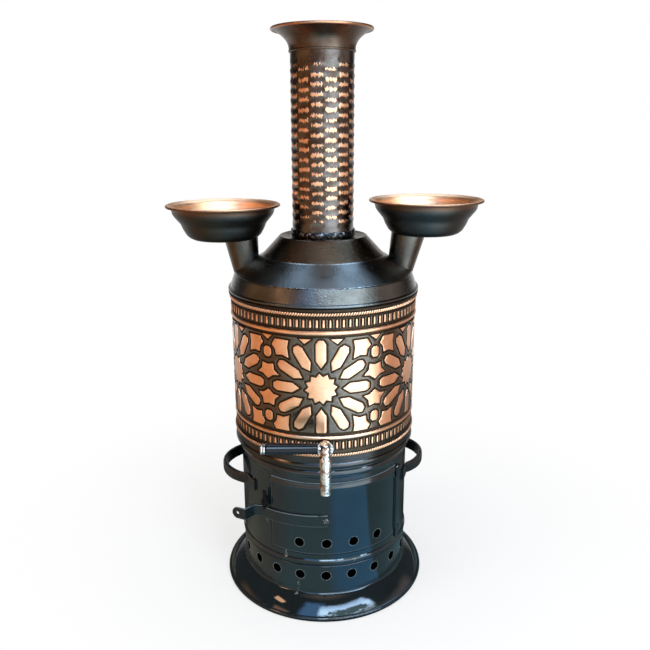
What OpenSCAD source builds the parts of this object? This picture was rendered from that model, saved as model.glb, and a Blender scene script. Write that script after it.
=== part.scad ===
// Wood-fired camping samovar: a foot with air holes, a firebox with a door, a water tank with an
// embossed band and a tap, two side bowls and a chimney through the middle.
// Millimetres. +Z is up, the tap faces -Y, and the origin is on the floor under the chimney.

/* [Foot] */
// How far the foot's upright ring stands out past the firebox
foot_ring_out = 0.5; // [0:0.1:2]
// How far the foot's rolled rim stands out from the ring
foot_spread = 19.6; // [14:0.2:30]
// Height of the foot, up to the firebox
foot_h = 52; // [45:0.5:70]
// Diameter of the wire roll round the foot's rim
foot_roll_d = 5.4; // [4:0.2:8]
// Height at which the flare of the foot runs into the upright ring
foot_flare_h = 24; // [18:0.5:30]
// Diameter of every air hole
air_hole_d = 9.4; // [6:0.2:12]
// Height of the air holes in the foot
foot_hole_z = 41; // [36:0.5:44]
// Number of air holes round the foot
foot_hole_count = 21; // [12:1:24]
// Thickness of the enamelled steel sheet
steel_t = 1.0; // [0.8:0.1:1.6]

/* [Firebox] */
// How far the firebox wall lies inside the tank wall
fire_inset = 4.3; // [3:0.1:8]
// Height of the firebox, up to the edge of the tank
fire_h = 110.6; // [95:0.5:150]
// How far the two swaged beads stand out
fire_bead_out = 1.6; // [0.8:0.1:2.4]
// Height of the lower bead above the foot
fire_low_bead_z = 4; // [4:0.5:6]
// Distance of the upper bead below the tank
fire_high_bead_drop = 7.1; // [6:0.1:9]
// How far the firebox reaches up inside the tank's lower edge
fire_spigot_h = 5.4; // [4:0.2:8]
// Thickness of the grate
grate_t = 2.5; // [2:0.5:4]
// Width of a slot in the grate
grate_slot_w = 8; // [5:0.5:10]
// Width of a bar between two slots
grate_bar_w = 6; // [4:0.5:10]

/* [Door] */
// Direction of the door's middle, in degrees to the right of the tap
door_az = 9.3; // [0:0.1:20]
// Angle that the door covers, without its hinge
door_span = 92.6; // [70:0.2:96]
// Height of the door's lower edge above the foot
door_sill = 14; // [12:0.5:18]
// Height of the door
door_h = 80; // [60:0.5:82]
// How far the middle of the pressed bead lies below the door's upper edge
door_bead_drop = 6.3; // [5:0.1:9]
// How far the pressed bead stands out from the door
door_bead_out = 0.8; // [0.4:0.1:1.2]
// Gap round the door
door_gap = 0.8; // [0.5:0.1:1.5]
// Height of the door's air holes above its lower edge
door_hole_rise = 12; // [8:0.5:20]
// Number of air holes in the door
door_hole_count = 4; // [3:1:5]
// Angle between two air holes in the door
door_hole_pitch = 18; // [14:0.2:20]
// Diameter of the hinge pin
hinge_pin_d = 3; // [2:0.1:4]
// Wall of the hinge barrels
hinge_barrel_t = 0.9; // [0.8:0.1:1.5]
// Height of each fixed knuckle
knuckle_h = 10; // [8:0.5:14]

/* [Door strap] */
// Width of the strap
strap_w = 12.4; // [8:0.2:16]
// Thickness of the strap and of the turn button
strap_t = 1.5; // [1:0.1:2]
// Height of the strap's rivet above the door's lower edge
strap_rise = 38.8; // [30:0.1:46]
// How much the strap falls away to the left, in degrees
strap_tilt = 2.6; // [0:0.1:4]
// Direction of the strap's rivet, in degrees to the right of the tap
strap_rivet_az = 1.1; // [-5:0.1:8]
// How far past the door's free edge the strap leaves the wall, in degrees
strap_leave = 8; // [7:0.5:11]
// How far the strap stands out at its bend, between the wall and the tab
strap_bend_out = 5.9; // [4:0.1:10]
// How far the fold of the tab stands out from the wall
tab_fold_out = 18.2; // [12:0.1:24]
// How far past the door's free edge the tab's fold is, in degrees
tab_fold_turn = 11.7; // [9:0.1:15]
// Angle between the tab and the front of the samovar
tab_turn = 26.7; // [10:0.1:40]
// Length of the strap's finger tab
tab_l = 15.3; // [12:0.1:22]
// Diameter of the hole in the tab
tab_hole_d = 3.6; // [2:0.1:5]
// Length of the turn button from its rivet to its tip
button_l = 14.7; // [12:0.1:16]
// Width of the turn button at its rivet
button_w = 9; // [7:0.1:10]
// Width of the turn button at its tip
button_tip_w = 4; // [3:0.1:5]

/* [Handles] */
// Height of the handles' strip
handle_w = 12.5; // [9:0.5:18]
// Thickness of the handles' strip
handle_t = 2.2; // [1.5:0.1:3]
// How far a handle stands out from the wall
handle_out = 19.5; // [15:0.5:26]
// Height of the handles' middle above the foot
handle_rise = 73.5; // [60:0.5:80]
// Direction of the left handle, in degrees to the left of the tap
handle_left_az = 88.7; // [80:0.1:100]
// Direction of the right handle, in degrees to the right of the tap
handle_right_az = 103.5; // [100:0.1:115]
// Angle that a handle covers between its feet
handle_span = 49; // [40:0.5:60]
// Angle that each foot covers along the wall
handle_foot_span = 12; // [8:0.5:16]
// Radius of the two round bends of a handle's grip
handle_grip_bend_r = 26; // [10:0.5:30]

/* [Tank] */
// Diameter of the tank behind the embossed plates
tank_d = 187.4; // [160:0.2:220]
// Height of the tank from its lower edge to the shoulder
tank_h = 161.4; // [150:0.5:200]
// Thickness of the tank's sheet
tank_t = 0.8; // [0.6:0.1:1.2]
// Diameter of the fire tube through the tank
flue_d = 59; // [50:0.5:62]
// Length of the fire tube that stands up inside the chimney
flue_spigot_h = 15; // [10:0.5:25]

/* [Embossed band] */
// How far the rosettes' middle lies below the middle of the band
motif_drop = 1.7; // [0:0.1:4]
// Distance between two rosettes round the tank
motif_pitch = 106.4; // [100:0.2:120]
// Direction of the front rosette, in degrees to the right of the tap
motif_az = -1.5; // [-10:0.5:10]
// How far the plates stand out
motif_relief_h = 0.9; // [0.5:0.1:1.5]
// Height of the ribs
rib_l = 9; // [6:0.2:10]
// Width of a rib
rib_w = 3.4; // [2.4:0.1:4]
// Distance between two ribs
rib_pitch = 6.13; // [5:0.01:8]

/* [Shoulder] */
// Height of the shoulder's skirt
skirt_h = 17.5; // [12:0.5:24]
// How far the top of the skirt lies inside the tank wall
skirt_in = 3.4; // [2:0.1:8]
// Height of the shallow cone
low_cone_h = 17; // [12:0.5:24]
// Radius where the shallow cone meets the steep one
cone_break_r = 62; // [56:0.5:68]
// Height of the steep cone
high_cone_h = 19.3; // [14:0.1:26]
// Radius of the collar round the chimney
collar_r = 43.8; // [38:0.2:50]
// Depth of the dish inside the collar
collar_dish = 1.8; // [1:0.1:3]

/* [Bowls] */
// Outer diameter of a bowl's rim
bowl_d = 114.2; // [96:0.2:124]
// Depth of a bowl
bowl_depth = 34.6; // [28:0.2:42]
// Radius of a bowl's flat bottom
bowl_bottom_r = 31; // [24:0.5:34]
// Thickness of a bowl's sheet
bowl_t = 0.9; // [0.6:0.1:1.5]
// Height of the left bowl's rim above the tank
bowl_left_rise = 84.7; // [78:0.1:96]
// Height of the right bowl's rim above the tank
bowl_right_rise = 89; // [78:0.1:96]
// Diameter of a neck under its bowl
neck_top_d = 34.2; // [28:0.2:38]
// Diameter of a neck where it meets the shoulder
neck_foot_d = 25.8; // [20:0.2:30]
// How far the middle of a neck's foot lies inside the top of the skirt
neck_foot_in = 11.9; // [10:0.1:18]
// How far the left neck leans out on its way up
neck_left_lean = 4.5; // [0:0.1:10]
// How far the right neck leans out on its way up
neck_right_lean = 7.9; // [0:0.1:10]
// How far inside its bowl's middle a neck meets the bowl
neck_inset = 17; // [12:0.5:20]
// Diameter of the hole from a bowl into its neck
fill_hole_d = 18; // [12:0.5:20]

/* [Chimney] */
// Outer diameter of the chimney
chimney_d = 61.4; // [56:0.2:68]
// Height of the chimney tube
chimney_h = 175.2; // [120:0.5:220]
// Thickness of the chimney's sheet
chimney_t = 0.8; // [0.6:0.1:0.8]
// Height of the flare
flare_h = 20.4; // [14:0.2:30]
// How far the flare's lip stands out from the tube
flare_out = 18.1; // [12:0.1:26]
// Diameter of the roll round the flare's lip
flare_roll_d = 2.8; // [2:0.1:4]

/* [Tap] */
// Direction of the tap, in degrees to the right
tap_az = 0.6; // [-3:0.1:3]
// Height of the tap's inlet above the tank's lower edge
tap_rise = 24.9; // [24:0.1:27]
// Distance of the tap's upright axis from the tank wall
tap_out = 29.3; // [26:0.1:38]
// Diameter of the tap's flange
tap_flange_d = 16; // [13:0.5:20]
// Diameter of the tap's collar
tap_collar_d = 12; // [11:0.1:14]
// Height of the tap's collar
tap_collar_h = 10; // [9:0.1:13]
// Diameter of the spout
spout_d = 10.3; // [9:0.1:11]
// Length of the spout below the collar
spout_l = 29.5; // [20:0.5:45]
// Diameter of the waterway
waterway_d = 5.6; // [4:0.1:6]
// Diameter of the turning plug
plug_d = 7.2; // [6.6:0.1:7.6]
// Diameter of the plug's cap
plug_cap_d = 9.4; // [8.4:0.1:11]
// Height of the plug's cap
plug_cap_h = 11.6; // [10:0.1:14]
// Height of the lever above the foot of the cap
lever_rise = 7.3; // [4:0.1:7.5]
// Length of the lever's grip
grip_l = 47.6; // [30:0.2:70]
// Diameter of the grip at its free end
grip_end_d = 11.8; // [9:0.1:14]
// Diameter of the grip at the plug
grip_start_d = 9.4; // [7:0.1:10]
// Diameter of the lever's rod
lever_d = 3.2; // [3:0.1:3.6]

/* [Hidden] */

// Clearances
slip = 0.4;      // radial play of pieces that lift off
seat = 0.1;      // play of pieces that are soldered or rolled in place
turn = 0.06;     // radial play of pins and of the tap's plug
past = 1;        // how far a cutter reaches past what it cuts

// Finishes
ENAMEL = [0.10, 0.13, 0.15];
BRONZE = [0.14, 0.12, 0.10];
COPPER = [0.80, 0.47, 0.32];
PATINA = [0.22, 0.15, 0.11];
NICKEL = [0.74, 0.74, 0.72];
BLACK = [0.05, 0.06, 0.07];
STEEL = [0.45, 0.45, 0.45];

ROUND = 96;      // sides shown on the large spun pieces
SMALL = 32;      // sides shown on pins, holes and the tap

// Heights of the joints between the big pieces
tank_z = foot_h + fire_h;
shoulder_z = tank_z + tank_h;
skirt_top_z = shoulder_z + skirt_h;
cone_break_z = skirt_top_z + low_cone_h;
collar_z = cone_break_z + high_cone_h;
chimney_z = collar_z - collar_dish;
flare_z = chimney_z + chimney_h;

// Radii of the big pieces
tank_r = tank_d / 2;
fire_r = tank_r - fire_inset;
foot_r = fire_r + foot_ring_out;
rim_r = foot_r + foot_spread;
skirt_top_r = tank_r - skirt_in;
flue_r = flue_d / 2;
chimney_r = chimney_d / 2;
foot_spigot_r = fire_r - steel_t - slip;
foot_spigot_h = 8.5;
tank_edge_r = tank_r + 0.2;
fire_lip_r = tank_edge_r - tank_t - slip;
floor_z = tank_z + fire_spigot_h;
grate_z = foot_h + foot_spigot_h;

// Paths in [r, z] run so that the metal lies on their left

function unit(v) = v / norm(v);
function left_of(v) = [-v[1], v[0]];

// Moves a path by t to its left, square to its own direction
function shifted(p, t) = [
    for (i = [0 : len(p) - 1])
        let (
            a = left_of(unit(p[max(i, 1)] - p[max(i, 1) - 1])),
            b = left_of(unit(p[min(i + 1, len(p) - 1)] - p[min(i, len(p) - 2)])),
            m = unit(a + b)
        )
        p[i] + m * t / max(0.5, m * a)
];
function reversed(p) = [for (i = [len(p) - 1 : -1 : 0]) p[i]];
// Closed outline of a sheet of thickness t that lies along a path
function sheet(p, t) = concat(p, reversed(shifted(p, t)));
// Round arc about [r, z], from angle a to angle b
function arc(r, z, radius, a, b, steps = 8) = [
    for (i = [0 : steps])
        let (angle = a + (b - a) * i / steps)
        [r + radius * cos(angle), z + radius * sin(angle)]
];
// Swaged bead on an upright wall of radius r: half its height is half_h, and it stands out by out
function bead(r, z, out, half_h, steps = 6) =
    let (
        radius = (half_h * half_h + out * out) / (2 * out),
        spread = asin(half_h / radius)
    )
    arc(r + out - radius, z, radius, -spread, spread, steps);
// Rounds each inner corner of a path with an arc whose radius stands beside it in a list
function rounded(p, radii, steps) = [
    for (i = [0 : len(p) - 1])
        if (i == 0 || i == len(p) - 1) p[i]
        else
            let (
                u = unit(p[i - 1] - p[i]),
                v = unit(p[i + 1] - p[i]),
                half = acos(u * v) / 2,
                radius = radii[i],
                centre = p[i] + unit(u + v) * radius / sin(half),
                start = p[i] + u * radius / tan(half),
                end = p[i] + v * radius / tan(half)
            )
            for (k = [0 : steps])
                centre + radius * unit((start - centre) * (1 - k / steps) + (end - centre) * k / steps)
];
// Point at a direction (degrees to the right of -Y) and a radius
function around(az, r) = [r * sin(az), -r * cos(az)];

module spun(outline) {
    rotate_extrude($fn = ROUND) polygon(outline);
}
// Places a piece at a direction round the axis, with its own -Y side facing out
module facing(az) {
    rotate([0, 0, az]) children();
}
// Round hole or pin along the radius, from radius r0 out to r1
module radial_rod(az, z, d, r0, r1) {
    facing(az) translate([0, -r0, z]) rotate([90, 0, 0]) cylinder(d = d, h = r1 - r0, $fn = SMALL);
}
// Wedge that covers the directions from a to b, out to radius r and between two heights
module wedge(a, b, r, z0, z1) {
    steps = max(2, ceil((b - a) / 30));
    far = r / cos((b - a) / steps / 2);
    translate([0, 0, z0]) linear_extrude(z1 - z0)
        polygon(concat([[0, 0]], [for (i = [0 : steps]) around(a + (b - a) * i / steps, far)]));
}
module tube(r_out, r_in, z0, z1) {
    difference() {
        translate([0, 0, z0]) cylinder(r = r_out, h = z1 - z0, $fn = ROUND);
        translate([0, 0, z0 - past]) cylinder(r = r_in, h = z1 - z0 + 2 * past, $fn = ROUND);
    }
}

// Foot

foot_dish_r = 10;                          // radius covered by the hollow part of the flare
foot_dish_z = 8.8;                         // height at the foot of that hollow part
foot_roll_r = foot_roll_d / 2;
foot_roll_z = foot_roll_r - 0.15;          // the roll is worn flat where it stands
foot_brow_r = rim_r - foot_roll_r - foot_r - foot_dish_r;
foot_brow_turn = 2 * atan((foot_dish_z - foot_roll_z - foot_roll_r + 0.1) / foot_brow_r);

function foot_path() = concat(
    [for (i = [6 : -1 : 1])
        let (a = foot_brow_turn * i / 6, radius = foot_brow_r / sin(foot_brow_turn))
        [foot_r + foot_dish_r + radius * sin(a), foot_dish_z - radius * (1 - cos(a))]],
    [for (i = [8 : -1 : 0])
        [foot_r + foot_dish_r * (1 - cos(90 * i / 8)),
         foot_flare_h - (foot_flare_h - foot_dish_z) * sin(90 * i / 8)]],
    [[foot_r, foot_h - 0.8], [foot_r - 0.8, foot_h]],
    [[foot_spigot_r, foot_h], [foot_spigot_r, grate_z]]
);

module base_ring() color(ENAMEL) {
    difference() {
        union() {
            spun(sheet(foot_path(), steel_t));
            rotate_extrude($fn = ROUND) translate([rim_r - foot_roll_r, foot_roll_z])
                circle(r = foot_roll_r, $fn = SMALL);
        }
        translate([0, 0, -foot_roll_d]) cylinder(r = rim_r + past, h = foot_roll_d, $fn = ROUND);
        for (i = [0 : foot_hole_count - 1])
            radial_rod(1 + i * 360 / foot_hole_count, foot_hole_z, air_hole_d,
                foot_spigot_r - past - 3 * steel_t, foot_r + past);
    }
}

ash_pan_wall = 6;

module ash_pan() color(ENAMEL) {
    r = foot_r - steel_t - seat;
    spun(sheet([[0, foot_flare_h], [r - 3, foot_flare_h], [r, foot_flare_h + 3],
        [r, foot_flare_h + ash_pan_wall]], steel_t));
}

module grate() color(STEEL) {
    r = fire_r - steel_t - 2 * slip;
    pitch = grate_slot_w + grate_bar_w;
    slots = floor((r - grate_bar_w) / pitch);
    difference() {
        translate([0, 0, grate_z]) cylinder(r = r, h = grate_t, $fn = ROUND);
        for (i = [-slots : slots])
            let (half = sqrt(pow(r - 2 * grate_bar_w, 2) - pow(i * pitch, 2)))
            translate([i * pitch - grate_slot_w / 2, -half, grate_z - past])
                cube([grate_slot_w, 2 * half, grate_t + 2 * past]);
    }
}

// Firebox

door_z = foot_h + door_sill;
door_left = door_az - door_span / 2;
door_right = door_az + door_span / 2;
hinge_barrel_r = hinge_pin_d / 2 + turn + hinge_barrel_t;
hinge_r = fire_r + hinge_barrel_r + seat;
hinge_gap = (hinge_barrel_r + 2 * slip) / fire_r * 180 / PI;
hinge_az = door_right + hinge_gap;
gap_az = door_gap / fire_r * 180 / PI;
knuckle_low_z = foot_h + fire_low_bead_z + 4.5;
knuckle_high_z = door_z + door_h - 4 - knuckle_h;
hinge_play = 0.3;
door_bead_half_h = 2.8;

function firebox_path() = concat(
    [[fire_r, foot_h]],
    bead(fire_r, foot_h + fire_low_bead_z, fire_bead_out, 3.6),
    bead(fire_r, tank_z - fire_high_bead_drop, fire_bead_out, 4.2),
    [[fire_r, tank_z + fire_spigot_h - 2.6], [fire_lip_r, tank_z + fire_spigot_h - 1.2],
     [fire_lip_r, tank_z + fire_spigot_h]]
);

module firebox_wall() color(ENAMEL) {
    difference() {
        spun(sheet(firebox_path(), steel_t));
        intersection() {
            wedge(door_left - gap_az, hinge_az + gap_az, fire_r + past,
                door_z - door_gap, door_z + door_h + door_gap);
            tube(fire_r + past, fire_r - 3 * steel_t, door_z - door_gap, door_z + door_h + door_gap);
        }
        radial_rod(button_az, button_z, button_shank_d + 2 * seat, fire_r - 4 * steel_t, fire_r + past);
    }
}

module barrel(z0, z1) {
    p = around(hinge_az, hinge_r);
    translate([p[0], p[1], z0]) cylinder(r = hinge_barrel_r, h = z1 - z0, $fn = SMALL);
}
module barrel_bore() {
    p = around(hinge_az, hinge_r);
    translate([p[0], p[1], knuckle_low_z - past])
        cylinder(r = hinge_pin_d / 2 + turn, h = door_h + 2 * knuckle_h, $fn = SMALL);
}

knuckle_leaf = 5;                          // angle that a knuckle's leaf covers on the wall

module hinge_knuckles() color(ENAMEL) {
    for (z = [knuckle_low_z, knuckle_high_z])
        difference() {
            union() {
                barrel(z, z + knuckle_h);
                intersection() {
                    tube(fire_r + seat + steel_t, fire_r + seat, z, z + knuckle_h);
                    wedge(hinge_az, hinge_az + knuckle_leaf, fire_r + 3 * steel_t, z, z + knuckle_h);
                }
            }
            barrel_bore();
        }
}

module hinge_pin() color(STEEL) {
    p = around(hinge_az, hinge_r);
    z0 = knuckle_low_z - 0.5;
    z1 = knuckle_high_z + knuckle_h + 0.2;
    head_r = hinge_pin_d / 2 + 0.6;
    translate([p[0], p[1], z0]) {
        cylinder(d = hinge_pin_d, h = z1 - z0 + 0.2, $fn = SMALL);
        translate([0, 0, z1 - z0]) rotate_extrude($fn = SMALL)
            polygon(concat([[0, 0]], [for (a = [0 : 15 : 90]) head_r * [cos(a), 0.8 * sin(a)]]));
    }
}

handle_foot_bend_r = 6;                    // radius of the bends at a handle's feet
handle_toe = 0.5;                          // where the strip starts to leave the wall
handle_heel = 3;                           // distance from the wall at its first bend
handle_crown = 1;                          // how far the grip's corners stand out past its middle

function handle_path() =
    let (
        r_wall = fire_r + seat + handle_t,
        half = handle_span / 2,
        r_grip = fire_r + handle_out + handle_crown
    )
    concat(
        [for (i = [0 : 3]) around(-half - handle_foot_span * (1 - i / 3), r_wall)],
        rounded([
            around(-half + 0.5, r_wall + handle_toe), around(-half + 2.5, r_wall + handle_heel),
            around(-half / 2.4, r_grip), around(half / 2.4, r_grip),
            around(half - 2.5, r_wall + handle_heel), around(half - 0.5, r_wall + handle_toe)
        ], [0, handle_foot_bend_r, handle_grip_bend_r, handle_grip_bend_r, handle_foot_bend_r, 0], 8),
        [for (i = [0 : 3]) around(half + handle_foot_span * i / 3, r_wall)]
    );

module handle(az) {
    p = handle_path();
    facing(az) translate([0, 0, foot_h + handle_rise - handle_w / 2])
        linear_extrude(handle_w) polygon(sheet(p, handle_t));
}
module handle_left() color(ENAMEL) handle(-handle_left_az);
module handle_right() color(ENAMEL) handle(handle_right_az);

// Door

strap_z = door_z + strap_rise;
strap_r = fire_r + seat;                   // inner face of the strap against the door
strap_leave_az = door_left - strap_leave;
strap_bend_turn = strap_leave + 4.4;       // direction of the bend, past the door's free edge

function door_path() = concat(
    [[fire_r, door_z]],
    bead(fire_r, door_z + door_h - door_bead_drop, door_bead_out, door_bead_half_h),
    [[fire_r, door_z + door_h]]
);

module door_panel() color(ENAMEL) {
    hinge_z0 = knuckle_low_z + knuckle_h + hinge_play;
    hinge_z1 = knuckle_high_z - hinge_play;
    difference() {
        union() {
            intersection() {
                spun(sheet(door_path(), steel_t));
                wedge(door_left, door_right, fire_r + 2 * past, door_z, door_z + door_h);
            }
            intersection() {
                tube(fire_r + steel_t, fire_r - steel_t, hinge_z0, hinge_z1);
                wedge(door_right - 1, hinge_az, fire_r + 2 * steel_t, hinge_z0, hinge_z1);
            }
            barrel(hinge_z0, hinge_z1);
        }
        barrel_bore();
        for (i = [0 : door_hole_count - 1])
            radial_rod(door_az + 1.2 + (i - (door_hole_count - 1) / 2) * door_hole_pitch,
                door_z + door_hole_rise, air_hole_d, fire_r - 3 * steel_t, fire_r + past);
        radial_rod(strap_rivet_az, strap_z, rivet_shank_d + 2 * seat,
            fire_r - 3 * steel_t, fire_r + past);
    }
}

rivet_shank_d = 4;
rivet_head_d = 6.6;
rivet_head_h = 1.6;

// Rivet along the radius, with a domed head that sits on radius r
module rivet(az, z, shank_d, head_d, head_h, r_in, r) {
    facing(az) translate([0, -r_in, z]) rotate([90, 0, 0]) {
        cylinder(d = shank_d, h = r - r_in, $fn = SMALL);
        translate([0, 0, r - r_in]) rotate_extrude($fn = SMALL)
            polygon(concat([[0, 0]], [for (a = [0 : 15 : 90]) [head_d / 2 * cos(a), head_h * sin(a)]]));
    }
}

module strap_rivet() color(STEEL)
    rivet(strap_rivet_az, strap_z, rivet_shank_d, rivet_head_d, rivet_head_h,
        fire_r - steel_t - 0.8, strap_r + strap_gap + strap_t + seat);

strap_gap = 0.4;                           // the strap's play over the wall, so that the door opens
strap_mid_r = strap_r + strap_gap + strap_t / 2;
tab_fold = around(door_left - tab_fold_turn, fire_r + tab_fold_out);
tab_dir = [-cos(tab_turn), sin(tab_turn)];
tab_end = tab_fold + tab_dir * (tab_l - strap_w / 2);

// Height of the strap's middle line, which is straight as seen from the front
function strap_z_at(x) = strap_z + (x - fire_r * sin(strap_rivet_az)) * tan(strap_tilt);

// Places a round piece in the middle of the tab, with its axis square to the tab
module at_tab_end() {
    translate([tab_end[0], tab_end[1], strap_z_at(tab_end[0])])
        rotate([90, 0, -tab_turn]) children();
}
// Level slab as high as the strap, tilted with it
module strap_slab() {
    translate([fire_r * sin(strap_rivet_az), 0, strap_z]) rotate([0, -strap_tilt, 0])
        translate([-3 * fire_r / 2, -3 * fire_r / 2, -strap_w / 2]) cube([3 * fire_r, 2 * fire_r, strap_w]);
}

module door_strap() color(ENAMEL) {
    r0 = strap_r + strap_gap;
    z0 = strap_z - strap_w;
    end_r = strap_w / 2 / cos(strap_tilt);
    difference() {
        union() {
            intersection() {
                strap_slab();
                union() {
                    intersection() {
                        tube(r0 + strap_t, r0, z0, z0 + 2 * strap_w);
                        wedge(strap_leave_az, strap_rivet_az, r0 + 2 * strap_t, z0, z0 + 2 * strap_w);
                    }
                    translate([0, 0, z0]) linear_extrude(2 * strap_w) polygon(sheet(shifted([
                        tab_end, tab_fold, around(door_left - strap_bend_turn, fire_r + strap_bend_out),
                        around(strap_leave_az, strap_mid_r), around(strap_leave_az + 1.2, strap_mid_r)
                    ], -strap_t / 2), strap_t));
                }
            }
            intersection() {
                tube(r0 + strap_t, r0, z0, z0 + 2 * strap_w);
                radial_rod(strap_rivet_az, strap_z, 2 * end_r, r0 - past, r0 + strap_t + past);
            }
            at_tab_end() translate([0, 0, -strap_t / 2]) cylinder(r = end_r, h = strap_t, $fn = SMALL);
        }
        at_tab_end() translate([0, 0, -strap_t]) cylinder(d = tab_hole_d, h = 2 * strap_t, $fn = SMALL);
        radial_rod(strap_rivet_az, strap_z, rivet_shank_d + 2 * seat, r0 - past, r0 + strap_t + past);
    }
}

// Turn button that locks the door by turning down over the strap

button_az = door_left - (button_w / 2 + 2 * slip) / fire_r * 180 / PI;
button_z = strap_z_at(fire_r * sin(button_az)) + strap_w / 2 + 2 * slip + button_w / 2;
button_shank_d = 3.2;
button_r = strap_r + strap_gap + strap_t + 1.2;

module button_rivet() color(STEEL)
    rivet(button_az, button_z, button_shank_d, button_shank_d + 2.4, 1.1,
        fire_r - steel_t - 0.8, button_r + strap_t + seat);

module turn_button() color(BLACK) {
    facing(button_az) translate([0, -button_r, button_z]) rotate([90, 0, 0]) difference() {
        union() {
            cylinder(d = button_w, h = strap_t, $fn = SMALL);
            linear_extrude(strap_t) polygon([
                [-button_w / 2, 0], [button_w / 2, 0], [button_w / 2, button_w * 0.35],
                [button_tip_w / 2, button_w * 0.7], [button_tip_w / 2, button_l],
                [-button_tip_w / 2, button_l], [-button_tip_w / 2, button_w * 0.7],
                [-button_w / 2, button_w * 0.35]
            ]);
        }
        translate([0, 0, -past])
            cylinder(d = button_shank_d + 2 * turn, h = strap_t + 2 * past, $fn = SMALL);
    }
}

// Tank

low_line_rise = 16;                        // the lowest raised line above the tank's lower edge
low_rib_rise = 25.6;                       // the lower ribs above the tank's lower edge
band_foot_rise = 33.8;                     // the line under the band above the tank's lower edge
band_top_drop = 23;                        // the line over the band below the tank's upper edge
high_rib_drop = 14;                        // the upper ribs below the tank's upper edge
high_line_drop = 5.2;                      // the highest raised line below the tank's upper edge
rim_bead_drop = 1.7;                       // the rim's bead below the tank's upper edge
low_rib_z = tank_z + low_rib_rise;
high_rib_z = shoulder_z - high_rib_drop;
low_rib_r = tank_r - 0.9;
high_rib_r = tank_r + 0.2;
line_d_r = tank_r + 0.4;
line_out = 1.4;                            // how far the raised lines stand out
line_d_z = tank_z + low_line_rise;
line_c_z = tank_z + band_foot_rise;
line_b_z = shoulder_z - band_top_drop;
line_a_z = shoulder_z - high_line_drop;
rim_bead_z = shoulder_z - rim_bead_drop;
rib_bay = rib_l / 2 + 0.8;                 // half height of the plain bay that a row of ribs fills

function tank_path() = concat(
    [[tank_edge_r, tank_z]],
    bead(tank_edge_r, tank_z + 3.9, 1.4, 3),
    bead(line_d_r, line_d_z, line_out, 2.3),
    [[low_rib_r, low_rib_z - rib_bay], [low_rib_r, low_rib_z + rib_bay]],
    bead(tank_r, line_c_z, line_out, 2.1),
    bead(tank_r, line_b_z, 2.3, 2.3),
    [[high_rib_r, high_rib_z - rib_bay], [high_rib_r, high_rib_z + rib_bay]],
    bead(tank_r + 1, line_a_z, 1.5, 1.5),
    bead(tank_r + 1.6, rim_bead_z, 1.9, 1.6),
    [[tank_r + 1.6, shoulder_z]]
);

module tank_wall() color(PATINA) {
    difference() {
        spun(sheet(tank_path(), tank_t));
        radial_rod(tap_az, tap_z, shank_d + 2 * seat, low_rib_r - 4 * tank_t, tank_r + 4 * tank_t);
    }
}

module tank_floor() color(STEEL) {
    r = tank_edge_r - tank_t - seat;
    spun(sheet([[flue_r + seat, floor_z], [r - 0.6, floor_z], [r, floor_z + 0.6], [r, floor_z + 4]], tank_t));
}

module flue_tube() color(STEEL)
    tube(flue_r, flue_r - tank_t, floor_z, chimney_z + flue_spigot_h);

// Embossed plates: outlines in mm on the unrolled sheet, about the middle of a rosette

drawn_pitch = 106.4;                       // repeat that the outlines are drawn for
star_tip_r = 15.3;
star_notch_r = 12;
petal = [[20.4, 0], [27.5, 5.3], [43.5, 5.3], [47.6, 2.8], [47.6, -2.8], [43.5, -5.3], [27.5, -5.3]];
corner_star = [[-10, 1.5], [-6.5, 7.5], [7.4, 7.2], [6.2, 0], [7.5, -10], [1, -7.4], [-5.5, -8.2],
    [-6.5, -2.6]];
side_star = [[0, -9.3], [5.8, -5], [12, -4.2], [7, 0.6], [6.2, 6.6], [0, 5.2], [-6.2, 6.6], [-7, 0.6],
    [-12, -4.2], [-5.8, -5]];
bud = [[-4.3, -2.8], [-2, -5.2], [2, -5.2], [4.3, -2.8], [4.3, 2.8], [2, 5.2], [-2, 5.2], [-4.3, 2.8]];
chip = [[-5.6, 2.2], [5.6, 2.2], [0.6, -2.4]];
band_foot_gap = 6;                         // plain strip between the plates and the line under them
band_top_gap = 4.4;                        // plain strip between the plates and the line over them
skin_t = 0.3;                              // how far the thin copper skin stands out from the tank
skin_fit = 0.05;                           // play between the skin and the tank

motif_z = (line_b_z + line_c_z) / 2 - motif_drop;
plate_scale = motif_pitch / drawn_pitch;
motif_turn = motif_pitch / tank_r * 180 / PI;
seam_half = 176;                           // the plates stop short of the seam at the back

function star(tip, notch, points) = [
    for (i = [0 : 2 * points - 1])
        let (a = 180 / points * (i + 0.5))
        (i % 2 == 0 ? tip : notch) * [cos(a), sin(a)]
];
function turned(p, a) = [for (q = p) [q[0] * cos(a) - q[1] * sin(a), q[0] * sin(a) + q[1] * cos(a)]];
function flipped(p, fx, fy) = [for (q = p) [q[0] * fx, q[1] * fy]];
function moved(p, v) = [for (q = p) q + v];

// Every plate of one repeat, as [place, outline about that place]
function plates() = concat(
    [[[0, 0], star(star_tip_r, star_notch_r, 12)]],
    [for (i = [0 : 11]) let (m = 34 * [cos(30 * i), sin(30 * i)]) [m, moved(turned(petal, 30 * i), -m)]],
    [for (fx = [-1, 1], fy = [-1, 1]) [[38 * fx, 38.8 * fy], flipped(corner_star, -fx, fy)]],
    [for (fy = [-1, 1]) [[drawn_pitch / 2, 14.6 * fy], flipped(side_star, 1, fy)]],
    [for (fy = [-1, 1]) [[drawn_pitch / 2, 32.5 * fy], bud]],
    [for (fx = [-1, 1]) [[14.6 * fx, 46.2], flipped(chip, fx, 1)]],
    [[[drawn_pitch / 2, 47], chip]]
);

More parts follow.
